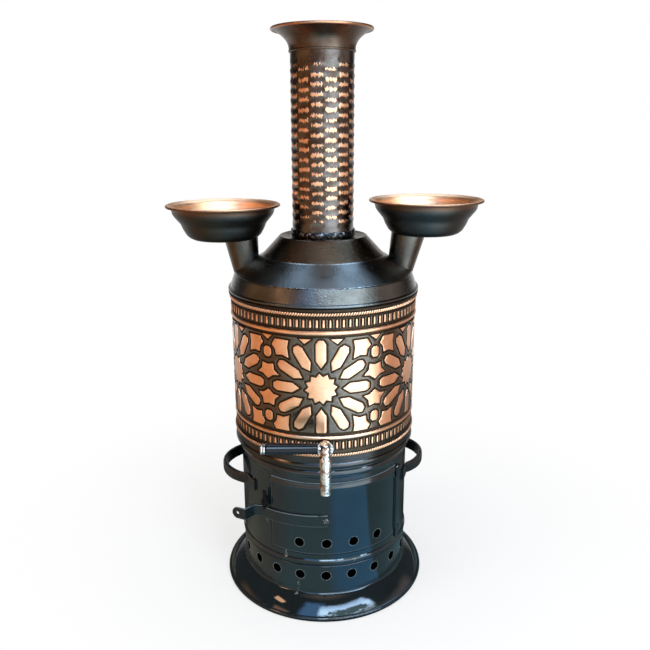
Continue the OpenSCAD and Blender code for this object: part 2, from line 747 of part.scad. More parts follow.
module motif_relief() color(COPPER) {
    repeats = ceil(180 / motif_turn);
    tube(tank_r + skin_t, tank_r + skin_fit, line_c_z + 2.4, line_b_z - 2.6);
    intersection() {
        tube(tank_r + motif_relief_h, tank_r + skin_t / 2, line_c_z + band_foot_gap, line_b_z - band_top_gap);
        union()
            for (k = [-repeats : repeats])
                for (plate = plates())
                    let (
                        place = plate[0] * plate_scale,
                        az = k * motif_turn + place[0] / tank_r * 180 / PI,
                        half = 8 / tank_r * 180 / PI
                    )
                    if (abs(az) + half < seam_half)
                        facing(motif_az + az) translate([0, 3 - tank_r, motif_z + place[1]])
                            rotate([90, 0, 0]) linear_extrude(3 + 3 * motif_relief_h)
                                polygon(plate[1] * plate_scale);
    }
}

module rib_row(r, z) {
    count = round(2 * PI * r / rib_pitch);
    difference() {
        translate([0, 0, z - rib_l / 2]) linear_extrude(rib_l) difference() {
            union() {
                circle(r = r + skin_t, $fn = 3 * ROUND);
                for (i = [0 : count - 1])
                    rotate(360 / count * i) translate([0, -(r + skin_t - rib_w / 4)])
                        circle(d = rib_w, $fn = 24);
            }
            circle(r = r + skin_fit, $fn = 3 * ROUND);
        }
        radial_rod(tap_az, tap_z, shank_d + 2 * seat, r - 4 * tank_t, r + rib_w);
    }
}
module rib_row_upper() color(COPPER) rib_row(high_rib_r, high_rib_z);
module rib_row_lower() color(COPPER) rib_row(low_rib_r, low_rib_z);

// Shoulder

shoulder_edge_r = tank_r + 1.6;
collar_flat = 3;                           // flat ring inside the dish that the chimney stands on

function shoulder_path() = concat(
    [[shoulder_edge_r, shoulder_z]],
    bead(shoulder_edge_r, shoulder_z + 1.9, 2.1, 1.5),
    [[shoulder_edge_r, shoulder_z + 3.6],
     [skirt_top_r + 0.5, skirt_top_z - 1], [skirt_top_r - 0.5, skirt_top_z + 0.2],
     [cone_break_r + 1, cone_break_z - 0.4], [cone_break_r - 0.8, cone_break_z + 0.6],
     [collar_r + 0.5, collar_z - 0.6], [collar_r - 0.4, collar_z], [collar_r - 1.4, collar_z - 0.2],
     [chimney_r + collar_flat, chimney_z], [flue_r + seat, chimney_z]]
);

module shoulder() color(BRONZE) {
    difference() {
        spun(sheet(shoulder_path(), tank_t));
        for (side = [-1, 1])
            translate([side * neck_foot_x, 0, shoulder_z])
                cylinder(d = fill_hole_d, h = collar_z - shoulder_z, $fn = SMALL);
    }
}

// Bowls and necks

bowl_r = bowl_d / 2;
bowl_roll_r = 1.3;
neck_foot_x = skirt_top_r - neck_foot_in;
neck_left_x = neck_foot_x + neck_left_lean;
neck_right_x = neck_foot_x + neck_right_lean;

// Outer face of a bowl, from the middle of its bottom to its rim, about the rim's centre
function bowl_path() = [
    [0, -bowl_depth], [bowl_bottom_r - 3, -bowl_depth], [bowl_bottom_r, -bowl_depth + 0.5],
    [bowl_r - 22.6, -bowl_depth + 2.2],
    [bowl_r - 19.6, -bowl_depth + 5], [bowl_r - 16.4, -bowl_depth + 10.6], [bowl_r - 14.2, -bowl_depth + 16],
    [bowl_r - 11.2, -15], [bowl_r - 8.4, -11.6], [bowl_r - 6.7, -9], [bowl_r - 5.4, -3.8],
    [bowl_r - 4, -2.2], [bowl_r - 2, -1.4]
];

// Bowl whose rim is at height z; side is -1 on the left and 1 on the right
module bowl(side, neck_x, z) {
    difference() {
        translate([side * (neck_x + neck_inset), 0, z]) {
            spun(sheet(bowl_path(), bowl_t));
            rotate_extrude($fn = ROUND) translate([bowl_r - bowl_roll_r, -bowl_roll_r])
                circle(r = bowl_roll_r, $fn = SMALL);
        }
        translate([side * neck_x, 0, z - bowl_depth - past]) cylinder(d = fill_hole_d, h = 5, $fn = SMALL);
    }
}

// Tapered neck between the shoulder and its bowl
module neck(side, top_x, bowl_z) {
    foot = [side * neck_foot_x, 0, skirt_top_z - 2];
    top = [side * top_x, 0, bowl_z - bowl_depth + 1];
    lift = top - foot;
    lean = atan2(lift[0], lift[2]);
    rise = norm(lift);
    slope = (neck_top_d - neck_foot_d) / 2 / rise;
    over = 8;
    difference() {
        translate(foot) rotate([0, lean, 0]) difference() {
            translate([0, 0, -over])
                cylinder(r1 = neck_foot_d / 2 - slope * over, r2 = neck_top_d / 2 + slope * over,
                    h = rise + 2 * over, $fn = SMALL);
            translate([0, 0, -over - past])
                cylinder(r1 = neck_foot_d / 2 - slope * (over + past) - tank_t,
                    r2 = neck_top_d / 2 + slope * (over + past) - tank_t,
                    h = rise + 2 * (over + past), $fn = SMALL);
        }
        spun(concat(shoulder_path(), [[0, chimney_z], [0, line_b_z], [shoulder_edge_r, line_b_z]]));
        translate([side * (top_x + neck_inset), 0, bowl_z])
            spun(concat(bowl_path(), [[bowl_r, 20], [0, 20]]));
    }
}
module neck_left() color(BRONZE) neck(-1, neck_left_x, shoulder_z + bowl_left_rise);
module neck_right() color(BRONZE) neck(1, neck_right_x, shoulder_z + bowl_right_rise);
module bowl_left() color(COPPER) bowl(-1, neck_left_x, shoulder_z + bowl_left_rise);
module bowl_right() color(COPPER) bowl(1, neck_right_x, shoulder_z + bowl_right_rise);

// Tap

tap_z = tank_z + tap_rise;
tap_reach = tank_r + tap_out;
shank_d = 9;
gasket_t = 1.2;
flange_t = 2;
flange_r0 = line_d_r + line_out + seat + gasket_t;
collar_low_z = tap_z - tap_collar_h / 2;
collar_high_z = tap_z + tap_collar_h / 2;
spout_z = collar_low_z - spout_l;
plug_floor_z = collar_low_z + 1.4;
cap_z = collar_high_z + 0.3;
lever_z = cap_z + lever_rise;
grip_start = plug_cap_d / 2 + 2.2;
ferrule_l = 4.8;
groove_t = 0.5;
groove_h = 1;
groove_z = cap_z + plug_cap_h - 0.8 - groove_h;

module at_tap() {
    facing(tap_az) translate([0, -tap_reach, 0]) children();
}
module tap_gasket() color(BLACK) difference() {
    radial_rod(tap_az, tap_z, tap_flange_d - 2, flange_r0 - gasket_t, flange_r0);
    radial_rod(tap_az, tap_z, shank_d + 2 * seat, flange_r0 - gasket_t - past, flange_r0 + past);
}
module tap_flange() color(NICKEL) difference() {
    radial_rod(tap_az, tap_z, tap_flange_d, flange_r0, flange_r0 + flange_t);
    radial_rod(tap_az, tap_z, shank_d + 2 * seat, flange_r0 - past, flange_r0 + flange_t + past);
}

nut_t = 4;
nut_d = 16;
nut_r = low_rib_r - tank_t - 0.5;          // the nut's corners lie against the curved wall
shank_in_r = nut_r - nut_t - 4;

module tap_nut() color(STEEL) difference() {
    facing(tap_az) translate([0, nut_t - nut_r, tap_z]) rotate([90, 0, 0])
        cylinder(d = nut_d, h = nut_t, $fn = 6);
    radial_rod(tap_az, tap_z, shank_d + 2 * seat, shank_in_r - past, low_rib_r);
}

module tap_body() color(NICKEL) difference() {
    union() {
        radial_rod(tap_az, tap_z, shank_d, shank_in_r, tap_reach);
        at_tap() rotate_extrude($fn = SMALL) polygon([
            [0, spout_z], [spout_d / 2 - 0.8, spout_z], [spout_d / 2, spout_z + 1],
            [spout_d / 2, collar_low_z - 0.6], [tap_collar_d / 2, collar_low_z],
            [tap_collar_d / 2, collar_high_z - 1.2], [tap_collar_d / 2 - 1, collar_high_z],
            [0, collar_high_z]
        ]);
    }
    radial_rod(tap_az, tap_z, waterway_d, shank_in_r - past, tap_reach);
    at_tap() {
        translate([0, 0, spout_z - past]) cylinder(d = waterway_d, h = spout_l + tap_collar_h, $fn = SMALL);
        translate([0, 0, plug_floor_z]) cylinder(d = plug_d, h = tap_collar_h, $fn = SMALL);
    }
}

// The plug's port leads from the side that faces the inlet when the lever points ahead, and down
module tap_plug() color(NICKEL) at_tap() difference() {
    union() {
        translate([0, 0, plug_floor_z + hinge_play])
            cylinder(d = plug_d - 2 * turn, h = cap_z - plug_floor_z, $fn = SMALL);
        rotate_extrude($fn = SMALL) polygon([
            [0, cap_z], [plug_cap_d / 2, cap_z], [plug_cap_d / 2, groove_z],
            [plug_cap_d / 2 - groove_t, groove_z], [plug_cap_d / 2 - groove_t, groove_z + groove_h],
            [plug_cap_d / 2, groove_z + groove_h], [plug_cap_d / 2 - 0.6, cap_z + plug_cap_h],
            [0, cap_z + plug_cap_h]
        ]);
    }
    translate([0, 0, plug_floor_z - past])
        cylinder(d = waterway_d - 1, h = tap_z - plug_floor_z + past, $fn = SMALL);
    translate([0, 0, tap_z]) rotate([0, 90, 0]) cylinder(d = waterway_d - 1, h = plug_d, $fn = SMALL);
    translate([-plug_cap_d, 0, lever_z]) rotate([0, 90, 0])
        cylinder(d = lever_d + 2 * seat, h = plug_cap_d, $fn = SMALL);
}
module plug_ring() color(BLACK) at_tap() translate([0, 0, groove_z + skin_fit]) difference() {
    cylinder(r = plug_cap_d / 2 + seat, h = groove_h - 2 * skin_fit, $fn = SMALL);
    translate([0, 0, -past])
        cylinder(r = plug_cap_d / 2 - groove_t + skin_fit, h = groove_h + 2 * past, $fn = SMALL);
}

// Solid of revolution along the lever, whose profile is [distance from the plug's axis, radius]
module along_lever(profile) {
    at_tap() translate([0, 0, lever_z]) rotate([0, -90, 0]) rotate_extrude($fn = SMALL)
        polygon([for (q = profile) [q[1], q[0]]]);
}
grip_end = grip_start + grip_l;
rod_end = grip_end + ferrule_l - 1;

module lever_rod() color(NICKEL)
    along_lever([[0, 0], [0, lever_d / 2], [rod_end, lever_d / 2], [rod_end, 0]]);
module lever_grip() color(BLACK) along_lever([
    [grip_start, lever_d / 2 + seat], [grip_start, grip_start_d / 2 - 0.6],
    [grip_start + 0.8, grip_start_d / 2], [grip_end - 1.2, grip_end_d / 2],
    [grip_end, grip_end_d / 2 - 1], [grip_end, lever_d / 2 + seat]
]);
module lever_ferrule() color(NICKEL) along_lever(concat(
    [[grip_end + seat, lever_d / 2 + seat]],
    [for (ring = [0, 1], a = [0 : 30 : 180])
        [grip_end + seat + ferrule_l * (0.25 + 0.5 * ring) - ferrule_l / 4 * cos(a),
         grip_end_d / 2 - 1.7 + 1.1 * sin(a)]],
    [[grip_end + seat + ferrule_l, lever_d / 2 + seat]]
));

// Chimney

flare_roll_r = flare_roll_d / 2;
flare_lap = 1.5;                           // the flare's lower edge laps over the tube
flare_bead_out = 0.5;
flare_bead_half_h = 1;

module chimney_tube() color(BRONZE)
    tube(chimney_r, chimney_r - chimney_t, chimney_z, flare_z);

function flare_path() =
    let (
        r0 = chimney_r + seat + chimney_t,
        reach = chimney_r + flare_out - flare_roll_r - r0,
        rise = flare_h - flare_roll_r
    )
    concat(
        [[r0, flare_z - flare_lap]],
        bead(r0, flare_z - flare_lap + 1.2 * flare_bead_half_h, flare_bead_out, flare_bead_half_h),
        [for (i = [1 : 10]) [r0 + reach * pow(i / 10, 2.4), flare_z + rise * i / 10]]
    );

module chimney_flare() color(BRONZE) {
    spun(sheet(flare_path(), chimney_t));
    rotate_extrude($fn = ROUND)
        translate([chimney_r + flare_out - flare_roll_r, flare_z + flare_h - flare_roll_r])
        circle(r = flare_roll_r, $fn = SMALL);
}

base_ring();
ash_pan();
grate();
firebox_wall();
hinge_knuckles();
hinge_pin();
button_rivet();
handle_left();
handle_right();
door_panel();
door_strap();
strap_rivet();
turn_button();
tank_wall();
tank_floor();
flue_tube();
motif_relief();
rib_row_upper();
rib_row_lower();
shoulder();
neck_left();
neck_right();
bowl_left();
bowl_right();
tap_gasket();
tap_flange();
tap_body();
tap_nut();
tap_plug();
plug_ring();
lever_rod();
lever_grip();
lever_ferrule();
chimney_tube();
chimney_flare();
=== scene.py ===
from math import atan2, cos, pi, radians, sin

import bpy
from mathutils import Matrix, Vector, noise


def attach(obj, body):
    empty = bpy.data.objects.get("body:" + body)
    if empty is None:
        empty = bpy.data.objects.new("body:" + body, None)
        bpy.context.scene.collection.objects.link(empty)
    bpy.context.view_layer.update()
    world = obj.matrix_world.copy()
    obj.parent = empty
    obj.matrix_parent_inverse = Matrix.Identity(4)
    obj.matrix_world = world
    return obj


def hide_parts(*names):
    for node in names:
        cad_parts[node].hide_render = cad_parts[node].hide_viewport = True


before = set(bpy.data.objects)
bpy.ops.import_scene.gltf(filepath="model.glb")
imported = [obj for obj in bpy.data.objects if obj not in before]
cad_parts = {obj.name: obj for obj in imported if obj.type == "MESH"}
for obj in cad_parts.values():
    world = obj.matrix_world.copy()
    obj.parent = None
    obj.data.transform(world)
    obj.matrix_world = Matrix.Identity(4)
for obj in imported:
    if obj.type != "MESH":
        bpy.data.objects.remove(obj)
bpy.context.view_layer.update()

# The studio: a pale floor under a white backdrop. A tall soft window stands to the right of the
# camera, a warm one to the left, and a wide soft lamp hangs above. The side of the room that faces
# the samovar is warm and dim, so that polished metal has something to show.

studio = bpy.context.scene
studio.view_settings.view_transform = "Standard"

camera_data = bpy.data.cameras.new("camera")
camera_data.lens = 38.17
camera = bpy.data.objects.new("camera", camera_data)
camera.matrix_world = (
    Matrix.Translation((0, -0.6965, 0.482))
    @ Matrix.Rotation(radians(-0.135), 4, "Z")
    @ Matrix.Rotation(radians(90 - 16.01), 4, "X")
    @ Matrix.Rotation(radians(-0.22), 4, "Z")
)
studio.collection.objects.link(camera)
studio.camera = camera


class Field:
    """A shader socket that can stand in sums, differences, products and quotients."""

    def __init__(self, tree, socket):
        self.tree, self.socket = tree, socket

    def node(self, kind, settings=None, inputs=None, out=0):
        made = self.tree.nodes.new("ShaderNode" + kind)
        for key, value in (settings or {}).items():
            setattr(made, key, value)
        for key, value in (inputs or {}).items():
            if isinstance(value, Field):
                self.tree.links.new(value.socket, made.inputs[key])
            elif isinstance(value, (tuple, list)) and made.inputs[key].type == "RGBA":
                made.inputs[key].default_value = (*value, 1)
            else:
                made.inputs[key].default_value = value
        return Field(self.tree, made.outputs[out])

    def math(self, operation, *values):
        return self.node("Math", {"operation": operation}, dict(enumerate(values)))

    def __add__(self, other):
        return self.math("ADD", self, other)

    def __sub__(self, other):
        return self.math("SUBTRACT", self, other)

    def __rsub__(self, other):
        return self.math("SUBTRACT", other, self)

    def __mul__(self, other):
        return self.math("MULTIPLY", self, other)

    def __truediv__(self, other):
        return self.math("DIVIDE", self, other)

    __radd__, __rmul__ = __add__, __mul__

    def smooth(self, low, high):
        """0 where this is low and 1 where it is high, with a soft step between."""
        settings = {"interpolation_type": "SMOOTHSTEP"}
        return self.node("MapRange", settings, {"Value": self, "From Min": low, "From Max": high})

    def near(self, middle, half, soft):
        """1 within half of the middle, falling to 0 over the soft distance."""
        return self.math("ABSOLUTE", self - middle).smooth(half + soft, half)

    def either(self, other):
        return self.math("MAXIMUM", self, other)

    def mix(self, low, high):
        """Colour that runs from low to high as this goes from 0 to 1."""
        return self.node("Mix", {"data_type": "RGBA"}, {"Factor": self, 6: low, 7: high}, out=2)

    def axis(self, name):
        return self.node("SeparateXYZ", {}, {0: self}, out="XYZ".index(name))

    def stretched(self, x, y, z):
        return self.node("Mapping", {}, {"Vector": self, "Scale": (x, y, z)})

    def grain(self, size, detail=4, roughness=0.55):
        """Cloudy noise whose largest features are about this size."""
        inputs = {"Vector": self, "Scale": 1 / size, "Detail": detail, "Roughness": roughness}
        return self.node("TexNoise", {}, inputs)

    def radius(self):
        """Distance from the upright axis of the samovar."""
        return self.node("VectorMath", {"operation": "LENGTH"}, {0: self.stretched(1, 1, 0)}, out=1)

    def direction(self):
        """Direction round the axis, in degrees to the right of the tap."""
        return self.math("ARCTAN2", self.axis("X"), -1 * self.axis("Y")) * (180 / pi)


def rays(tree, *kinds):
    """1 for rays of these kinds and 0 for all others."""
    path = tree.nodes.new("ShaderNodeLightPath")
    total = 0
    for kind in kinds:
        total = Field(tree, path.outputs[f"Is {kind} Ray"]) + total
    return total.smooth(0, 1)


hearth_light, shade, sky_light = (0.8, 0.42, 0.2), (0.09, 0.085, 0.08), (2.2, 3.4, 5.0)
window_side, window_half = 27, 31

world = bpy.data.worlds.new("studio")
world.use_nodes = True
studio.world = world
tree = world.node_tree
around = Field(tree, tree.nodes.new("ShaderNodeTexCoord").outputs["Generated"])
side = around.direction()
climb = around.math("ARCSINE", around.axis("Z")) * (180 / pi)
hearth = side.near(-68, 28, 16) * climb.near(0, 14, 9)
lantern = side.near(-64, 6, 2) * climb.near(45, 2.5, 1.5)
glow = side.near(-51, 7, 4) * climb.near(22, 6, 5)
middle = side.near(-18, 14, 8) * climb.near(4, 14, 8)
window = side.near(window_side, window_half, 6) * climb.near(20, 32, 6)
wing = side.near(-14, 12, 8) * climb.near(42, 14, 8)
clouds = around.grain(0.5, 4, 0.6)
overhead = (around.axis("Y") + clouds * 0.5).near(0.6, 0.24, 0.06)
overhead = around.axis("X").near(0.14, 0.38, 0.06) * overhead
sky = overhead * around.axis("Z").smooth(0.5, 0.7) * clouds.smooth(0.28, 0.46)
wall = side.near(70, 34, 14).mix(shade, (0.75, 0.61, 0.54))
room = climb.smooth(30, 16).mix(shade, wall)
room = middle.mix(wing.mix(room, (0.8, 1.9, 3.8)), (1.1, 0.85, 0.68))
room = hearth.mix(room, hearth_light)
room = glow.mix(room, (2.6, 1.5, 0.9))
trees = around.grain(0.3, 3, 0.6).smooth(0.49, 0.53) * climb.near(33, 10, 4)
pane = side.smooth(2, 24).mix((1.7, 1.6, 1.55), (4.0, 4.8, 5.5))
high_pane = climb.smooth(58, 40).mix((5, 8, 12), (11, 16, 22))
open_air = climb.smooth(28, 38).mix(pane, high_pane)
room = window.mix(room, trees.mix(open_air, (1.0, 1.7, 1.9)))
roof = around.axis("Y").smooth(-0.05, 0.1).mix((1.15, 0.85, 0.62), (0.72, 0.66, 0.58))
room = climb.smooth(66, 79).mix(room, roof)
room = lantern.mix(sky.mix(room, sky_light), (12, 7, 4))
backdrop = around.axis("Y").smooth(0.75, 0.95) * climb.near(0, 8, 10)
room = rays(tree, "Glossy", "Transmission").mix((0.4, 0.4, 0.4), backdrop.mix(room, (1, 1, 1)))
room = rays(tree, "Camera").mix(room, (1, 1, 1))
tree.links.new(room.socket, tree.nodes["Background"].inputs["Color"])


def lamp(name, place, aim, width, height, watts, colour):
    """A soft rectangular lamp that mirrors don't show."""
    data = bpy.data.lights.new(name, "AREA")
    data.shape, data.size, data.size_y = "RECTANGLE", width, height
    data.energy, data.color = watts, colour
    made = bpy.data.objects.new(name, data)
    made.location = place
    made.rotation_euler = (Vector(aim) - Vector(place)).to_track_quat("-Z", "Y").to_euler()
    made.visible_glossy = False
    studio.collection.objects.link(made)


lamp("window_right", (0.62, -1.1, 0.75), (0, 0, 0.3), 0.5, 0.9, 12, (0.8, 0.91, 1))
lamp("window_left", (-1.15, -0.6, 0.6), (0, 0, 0.3), 0.5, 0.9, 6, (1, 0.88, 0.74))
lamp("ceiling", (0, -0.1, 1.7), (0, 0, 0.2), 1.4, 1.4, 14, (1, 1, 1))


def finish(name, colour, roughness, metallic, **constants):
    """A material with one plain shader, and its place on the object in millimetres."""
    material = bpy.data.materials.new(name)
    material.use_nodes = True
    shader = material.node_tree.nodes["Principled BSDF"]
    for key, value in {"Roughness": roughness, "Metallic": metallic, **constants}.items():
        shader.inputs[key].default_value = value
    shader.inputs["Base Color"].default_value = (*colour, 1)
    coordinates = material.node_tree.nodes.new("ShaderNodeTexCoord")
    place = Field(material.node_tree, coordinates.outputs["Object"])
    return material, shader, place.stretched(1000, 1000, 1000)


paper, paper_shader, paper_place = finish("floor_paper", (0.9, 0.9, 0.9), 0.95, 0)
tree = paper.node_tree
away, side = paper_place.radius(), paper_place.direction()
# Painted light: to mirrored rays the floor shows a painted room instead of paper: a painted pool of blue
# window light just in front and to the right, brighter painted window light further out with a hot spot,
# and warm painted light to the left. Camera rays see pale paper faded to white.
window, painted_window_pool = side.near(window_side, window_half - 8, 12), side.smooth(2, 16) * side.smooth(54, 49)
left, right = side.smooth(-28, -60), side.smooth(50, 75)
near = side.smooth(49, 54).mix(left.mix((0.35, 0.6, 0.66), (0.36, 0.34, 0.26)), (0.2, 0.36, 0.4))
near = painted_window_pool.mix(near, (0.3, 0.9, 1.6))
far = window.mix((1.15, 1.25, 1.25), (2.0, 2.6, 3.2))
far = left.mix(side.near(41, 14, 8).mix(far, (3.3, 3.9, 4.4)), (0.74, 0.43, 0.24))
front = away.smooth(300, 500).mix(near, right.mix(far, (0.62, 0.43, 0.34)))
# Painted shade: to mirrored rays the floor is dark close behind the samovar, clearing to white far back.
back = away.smooth(150, 300).mix((0.02, 0.02, 0.02), (0.12, 0.12, 0.12))
back = away.smooth(300, 1200).mix(back, (1, 1, 1))
shown = side.math("ABSOLUTE", side).smooth(85, 125).mix(front, back)
# Painted shadow: to mirrored rays the floor is near black under and just round the foot.
shown = away.smooth(112, 124).mix((0.06, 0.06, 0.06), shown)
mirrored = rays(tree, "Glossy", "Transmission")
shown = mirrored.mix((1, 1, 1), shown)
faded = (away.smooth(120, 520) * 0.4 + 0.6) * rays(tree, "Camera")
white = paper_place.node("Emission", {}, {"Color": shown, "Strength": 1.0})
sheet = paper_place.node(
    "MixShader", {}, {0: faded.either(mirrored), 1: Field(tree, paper_shader.outputs[0]), 2: white},
)
tree.links.new(sheet.socket, tree.nodes["Material Output"].inputs["Surface"])

bpy.ops.object.select_all(action="DESELECT")
bpy.ops.mesh.primitive_plane_add(size=8)
floor = bpy.context.object
floor.name = "studio_floor"
floor.data.materials.append(paper)

# Foot. A domed dish and ring pressed from one steel sheet and dipped in near-black enamel, with a
# wire rolled into the rim and a row of punched air holes. The enamel has chipped to a pale line at
# the holes, and in a few runs below them.

mm = 0.001
slate = (0.0062, 0.0098, 0.0112)
chip_colour = (0.17, 0.18, 0.165)


def feed(shader, **fields):
    """Links fields into a shader. A bump is a height field and the depth in mm that it covers."""
    sockets = {"colour": "Base Color", "roughness": "Roughness", "bump": "Normal"}
    for key, field in fields.items():
        if key == "bump":
            height, depth = field
            field = height.node("Bump", {}, {"Height": height, "Distance": depth * mm, "Strength": 1})
        field.tree.links.new(field.socket, shader.inputs[sockets[key]])


def enamel(name, rims=None, chips=(), lines=(), gloss=0.55):
    """Glossy fired enamel, chipped to a pale line at rims and chips, with painted highlight lines.

    rims gives air holes: radius on the wall, height, first, step and count. Each of the chips is a
    radius, a direction, a height, a width and a length. Each of the lines is a painted highlight along
    an edge: a function that gives the distance from it, a half width and how bright it is.
    """
    material, shader, place = finish(name, slate, 0.1, 0, **{"Specular IOR Level": gloss})
    tint = place.grain(38, 3)
    colour = tint.smooth(0.35, 0.7).mix(slate, (0.008, 0.0125, 0.0155))
    bare = None
    broken = place.grain(1.6, 3)
    if rims:
        wall, height, first, step, count = rims
        turn = (place.direction() - first) / step
        nearest = turn.math("MINIMUM", turn.math("MAXIMUM", turn.math("ROUND", turn), 0), count - 1)
        across = (turn - nearest) * (step * pi / 180 * wall)
        up = place.axis("Z") - height
        away = (across * across + up * up).math("SQRT", across * across + up * up)
        colour = away.smooth(5.25, 5.0).mix(colour, (0.001, 0.001, 0.001))
        bare = away.near(5.3, 0.06, 0.26) * broken.smooth(0.36, 0.5)
    for wall, azimuth, height, width, length in chips:
        across = (place.direction() - azimuth) * (pi / 180 * wall) + (broken - 0.5) * 5
        spot = across.near(0, width / 2, 0.4) * place.axis("Z").near(height, length / 2, 0.8)
        spot = spot * place.grain(2.2, 2).smooth(0.5, 0.6)
        bare = spot if bare is None else bare.either(spot)
    smudge = place.grain(14, 5, 0.65)
    roughness = smudge * 0.08 + 0.02
    if bare is not None:
        colour = bare.mix(colour, chip_colour)
        roughness = roughness + bare * 0.4
    # Painted highlights: pale blue lines along the given edges, as light catching them.
    for distance, half, strength in lines:
        edge_highlight = distance(place).near(0, half, 0.3) * place.grain(9, 4, 0.7).smooth(0.3, 0.45) * strength
        colour = edge_highlight.mix(colour, (0.3, 0.35, 0.4))
    feed(shader, colour=colour, roughness=roughness, bump=(place.grain(11, 2), 0.07))
    return material


def dress(material, *names):
    """Gives solids of the frame their finish."""
    for name in names:
        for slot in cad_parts[name].material_slots:
            slot.material = material


ring_wall = 89.9
foot_enamel = enamel(
    "foot_enamel", rims=(ring_wall, 41, 1 - 360 / 21 * 10, 360 / 21, 21),
    chips=[(ring_wall, -17.8, 30, 2, 6), (ring_wall, -18, 24, 1, 5), (92, -18.4, 18.8, 3, 1.6)],
)


def softened(node, body, material, edge, angle=38, segments=2, shaped=None):
    """Stands in for a solid of the frame, with its sharp edges rounded over by at most edge mm.

    The bevel stays clear of overlaps, which holds it back all over a piece: the button gets the
    whole of edge, the bowls nearly, the shoulder a part, the foot and the door panel very little,
    and the door strap none.
    """
    bpy.ops.object.select_all(action="DESELECT")
    piece = bpy.data.objects.new(node + "_soft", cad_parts[node].data.copy())
    studio.collection.objects.link(piece)
    bpy.context.view_layer.objects.active = piece
    piece.select_set(True)
    bpy.ops.object.mode_set(mode="EDIT")
    bpy.ops.mesh.select_all(action="SELECT")
    bpy.ops.mesh.remove_doubles(threshold=0.004 * mm)
    bpy.ops.mesh.dissolve_limited(angle_limit=radians(0.4))
    bpy.ops.object.mode_set(mode="OBJECT")
    bpy.ops.mesh.customdata_custom_splitnormals_clear()
    if shaped:
        shaped(piece.data.vertices)
    bevel = piece.modifiers.new("rounded edges", "BEVEL")
    bevel.width, bevel.segments = edge * mm, segments
    bevel.limit_method, bevel.angle_limit = "ANGLE", radians(angle)
    bpy.ops.object.modifier_apply(modifier=bevel.name)
    bpy.ops.object.shade_smooth_by_angle(angle=radians(50))
    even = piece.modifiers.new("even shading", "WEIGHTED_NORMAL")
    even.keep_sharp = True
    bpy.ops.object.modifier_apply(modifier=even.name)
    piece.data.materials.clear()
    piece.data.materials.append(material)
    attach(piece, body)
    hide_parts(node)


flare_top, dish_end, brow_end, plain_dish, plain_brow = 24, 99.9, 106.8, (10, 15.2), 8.345
fold, fold_top, brow, brow_middle = 3, 21.9, 48.3, (67.18, -22.49)


def domed(vertices):
    """Presses the dish to a tight fold under the ring and a domed brow down to the rim."""
    for vertex in vertices:
        reach = vertex.co.xy.length / mm
        if vertex.co.z > (flare_top + 0.1) * mm or not ring_wall < reach < brow_end:
            continue
        if reach < dish_end:
            inwards = 1 - (reach - ring_wall) / plain_dish[0]
            plain = flare_top - plain_dish[1] * (1 - inwards ** 2) ** 0.5
        else:
            plain = (plain_brow ** 2 - (reach - dish_end) ** 2) ** 0.5
            plain += flare_top - plain_dish[1] - plain_brow
        if reach < ring_wall + fold / 2:
            pressed = fold_top - fold * (1 - (1 - (reach - ring_wall) / fold) ** 2) ** 0.5
        else:
            pressed = brow_middle[1] + (brow ** 2 - (reach - brow_middle[0]) ** 2) ** 0.5
        vertex.co.z += (pressed - plain) * mm


softened("base_ring", "base", foot_enamel, 0.3, 60, shaped=domed)

# Ash pan, grate and inner steel. The enamelled pan closes the foot from below and the slotted steel
# grate lies on the foot's spigot. Grate, tank floor, flue tube and tap nut are bare steel, grey and
# scaled by the fire.

scale, scale_shader, place = finish("fire_scale", (0.09, 0.085, 0.08), 0.6, 0.8)
flake = place.grain(5, 6, 0.7)
feed(scale_shader, colour=flake.mix((0.03, 0.028, 0.027), (0.16, 0.145, 0.13)),
     roughness=flake * 0.3 + 0.42, bump=(flake, 0.25))
dress(scale, "grate", "tank_floor", "flue_tube", "tap_nut")
pan_enamel = enamel("pan_enamel")
dress(pan_enamel, "ash_pan")

# Firebox. A rolled and enamelled steel cylinder with a swaged bead near each end and an opening
# for the door; it stands on the foot and carries the tank.

fire_wall = 89.4
fire_enamel = enamel("fire_enamel", chips=[
    (fire_wall, -41.6, 102, 0.5, 20), (fire_wall, -40.6, 99, 0.5, 24),
    (fire_wall, -39.5, 101, 0.5, 18), (90.6, -25.8, 62, 2.4, 8),
    (90.6, 20, 57, 5, 2), (fire_wall, -55, 131, 2, 4),
])
dress(fire_enamel, "firebox_wall")

# Hinge. Two rolled knuckles are riveted to the firebox and a third is rolled out of the door, with
# a wire pin through all three. The roll lies low against the wall.

knuckle_enamel = enamel("knuckle_enamel", chips=[(94, 53.9, 138, 2, 14), (94, 55, 68, 2, 4)], gloss=0.3)
wire, wire_shader, place = finish("drawn_wire", (0.4, 0.39, 0.37), 0.35, 1)
drawn = place.stretched(1, 1, 0.1).grain(1.2, 4)
feed(wire_shader, colour=drawn.mix((0.2, 0.19, 0.18), (0.5, 0.49, 0.46)), roughness=drawn * 0.3 + 0.2)
roll_foot, roll_left, roll_right, roll_rise = fire_wall + 0.1, 55.4, 60.6, 0.34


def pressed_flat(vertices):
    """Presses the rolled part of the hinge down towards the wall."""
    for vertex in vertices:
        reach = vertex.co.xy.length / mm
        turn = atan2(vertex.co.x, -vertex.co.y) * 180 / pi
        if reach > roll_foot and roll_left < turn < roll_right:
            flat = roll_foot + (reach - roll_foot) * roll_rise
            vertex.co.xy *= flat / reach


softened("hinge_pin", "firebox", wire, 0.1, 60, shaped=pressed_flat)
softened("hinge_knuckles", "firebox", knuckle_enamel, 0.35, shaped=pressed_flat)

# Door. A curved enamelled sheet with four air holes, cut to the wall's own curve.

door_low, door_high, door_left, door_right = 66, 146, -37.0, 55.6
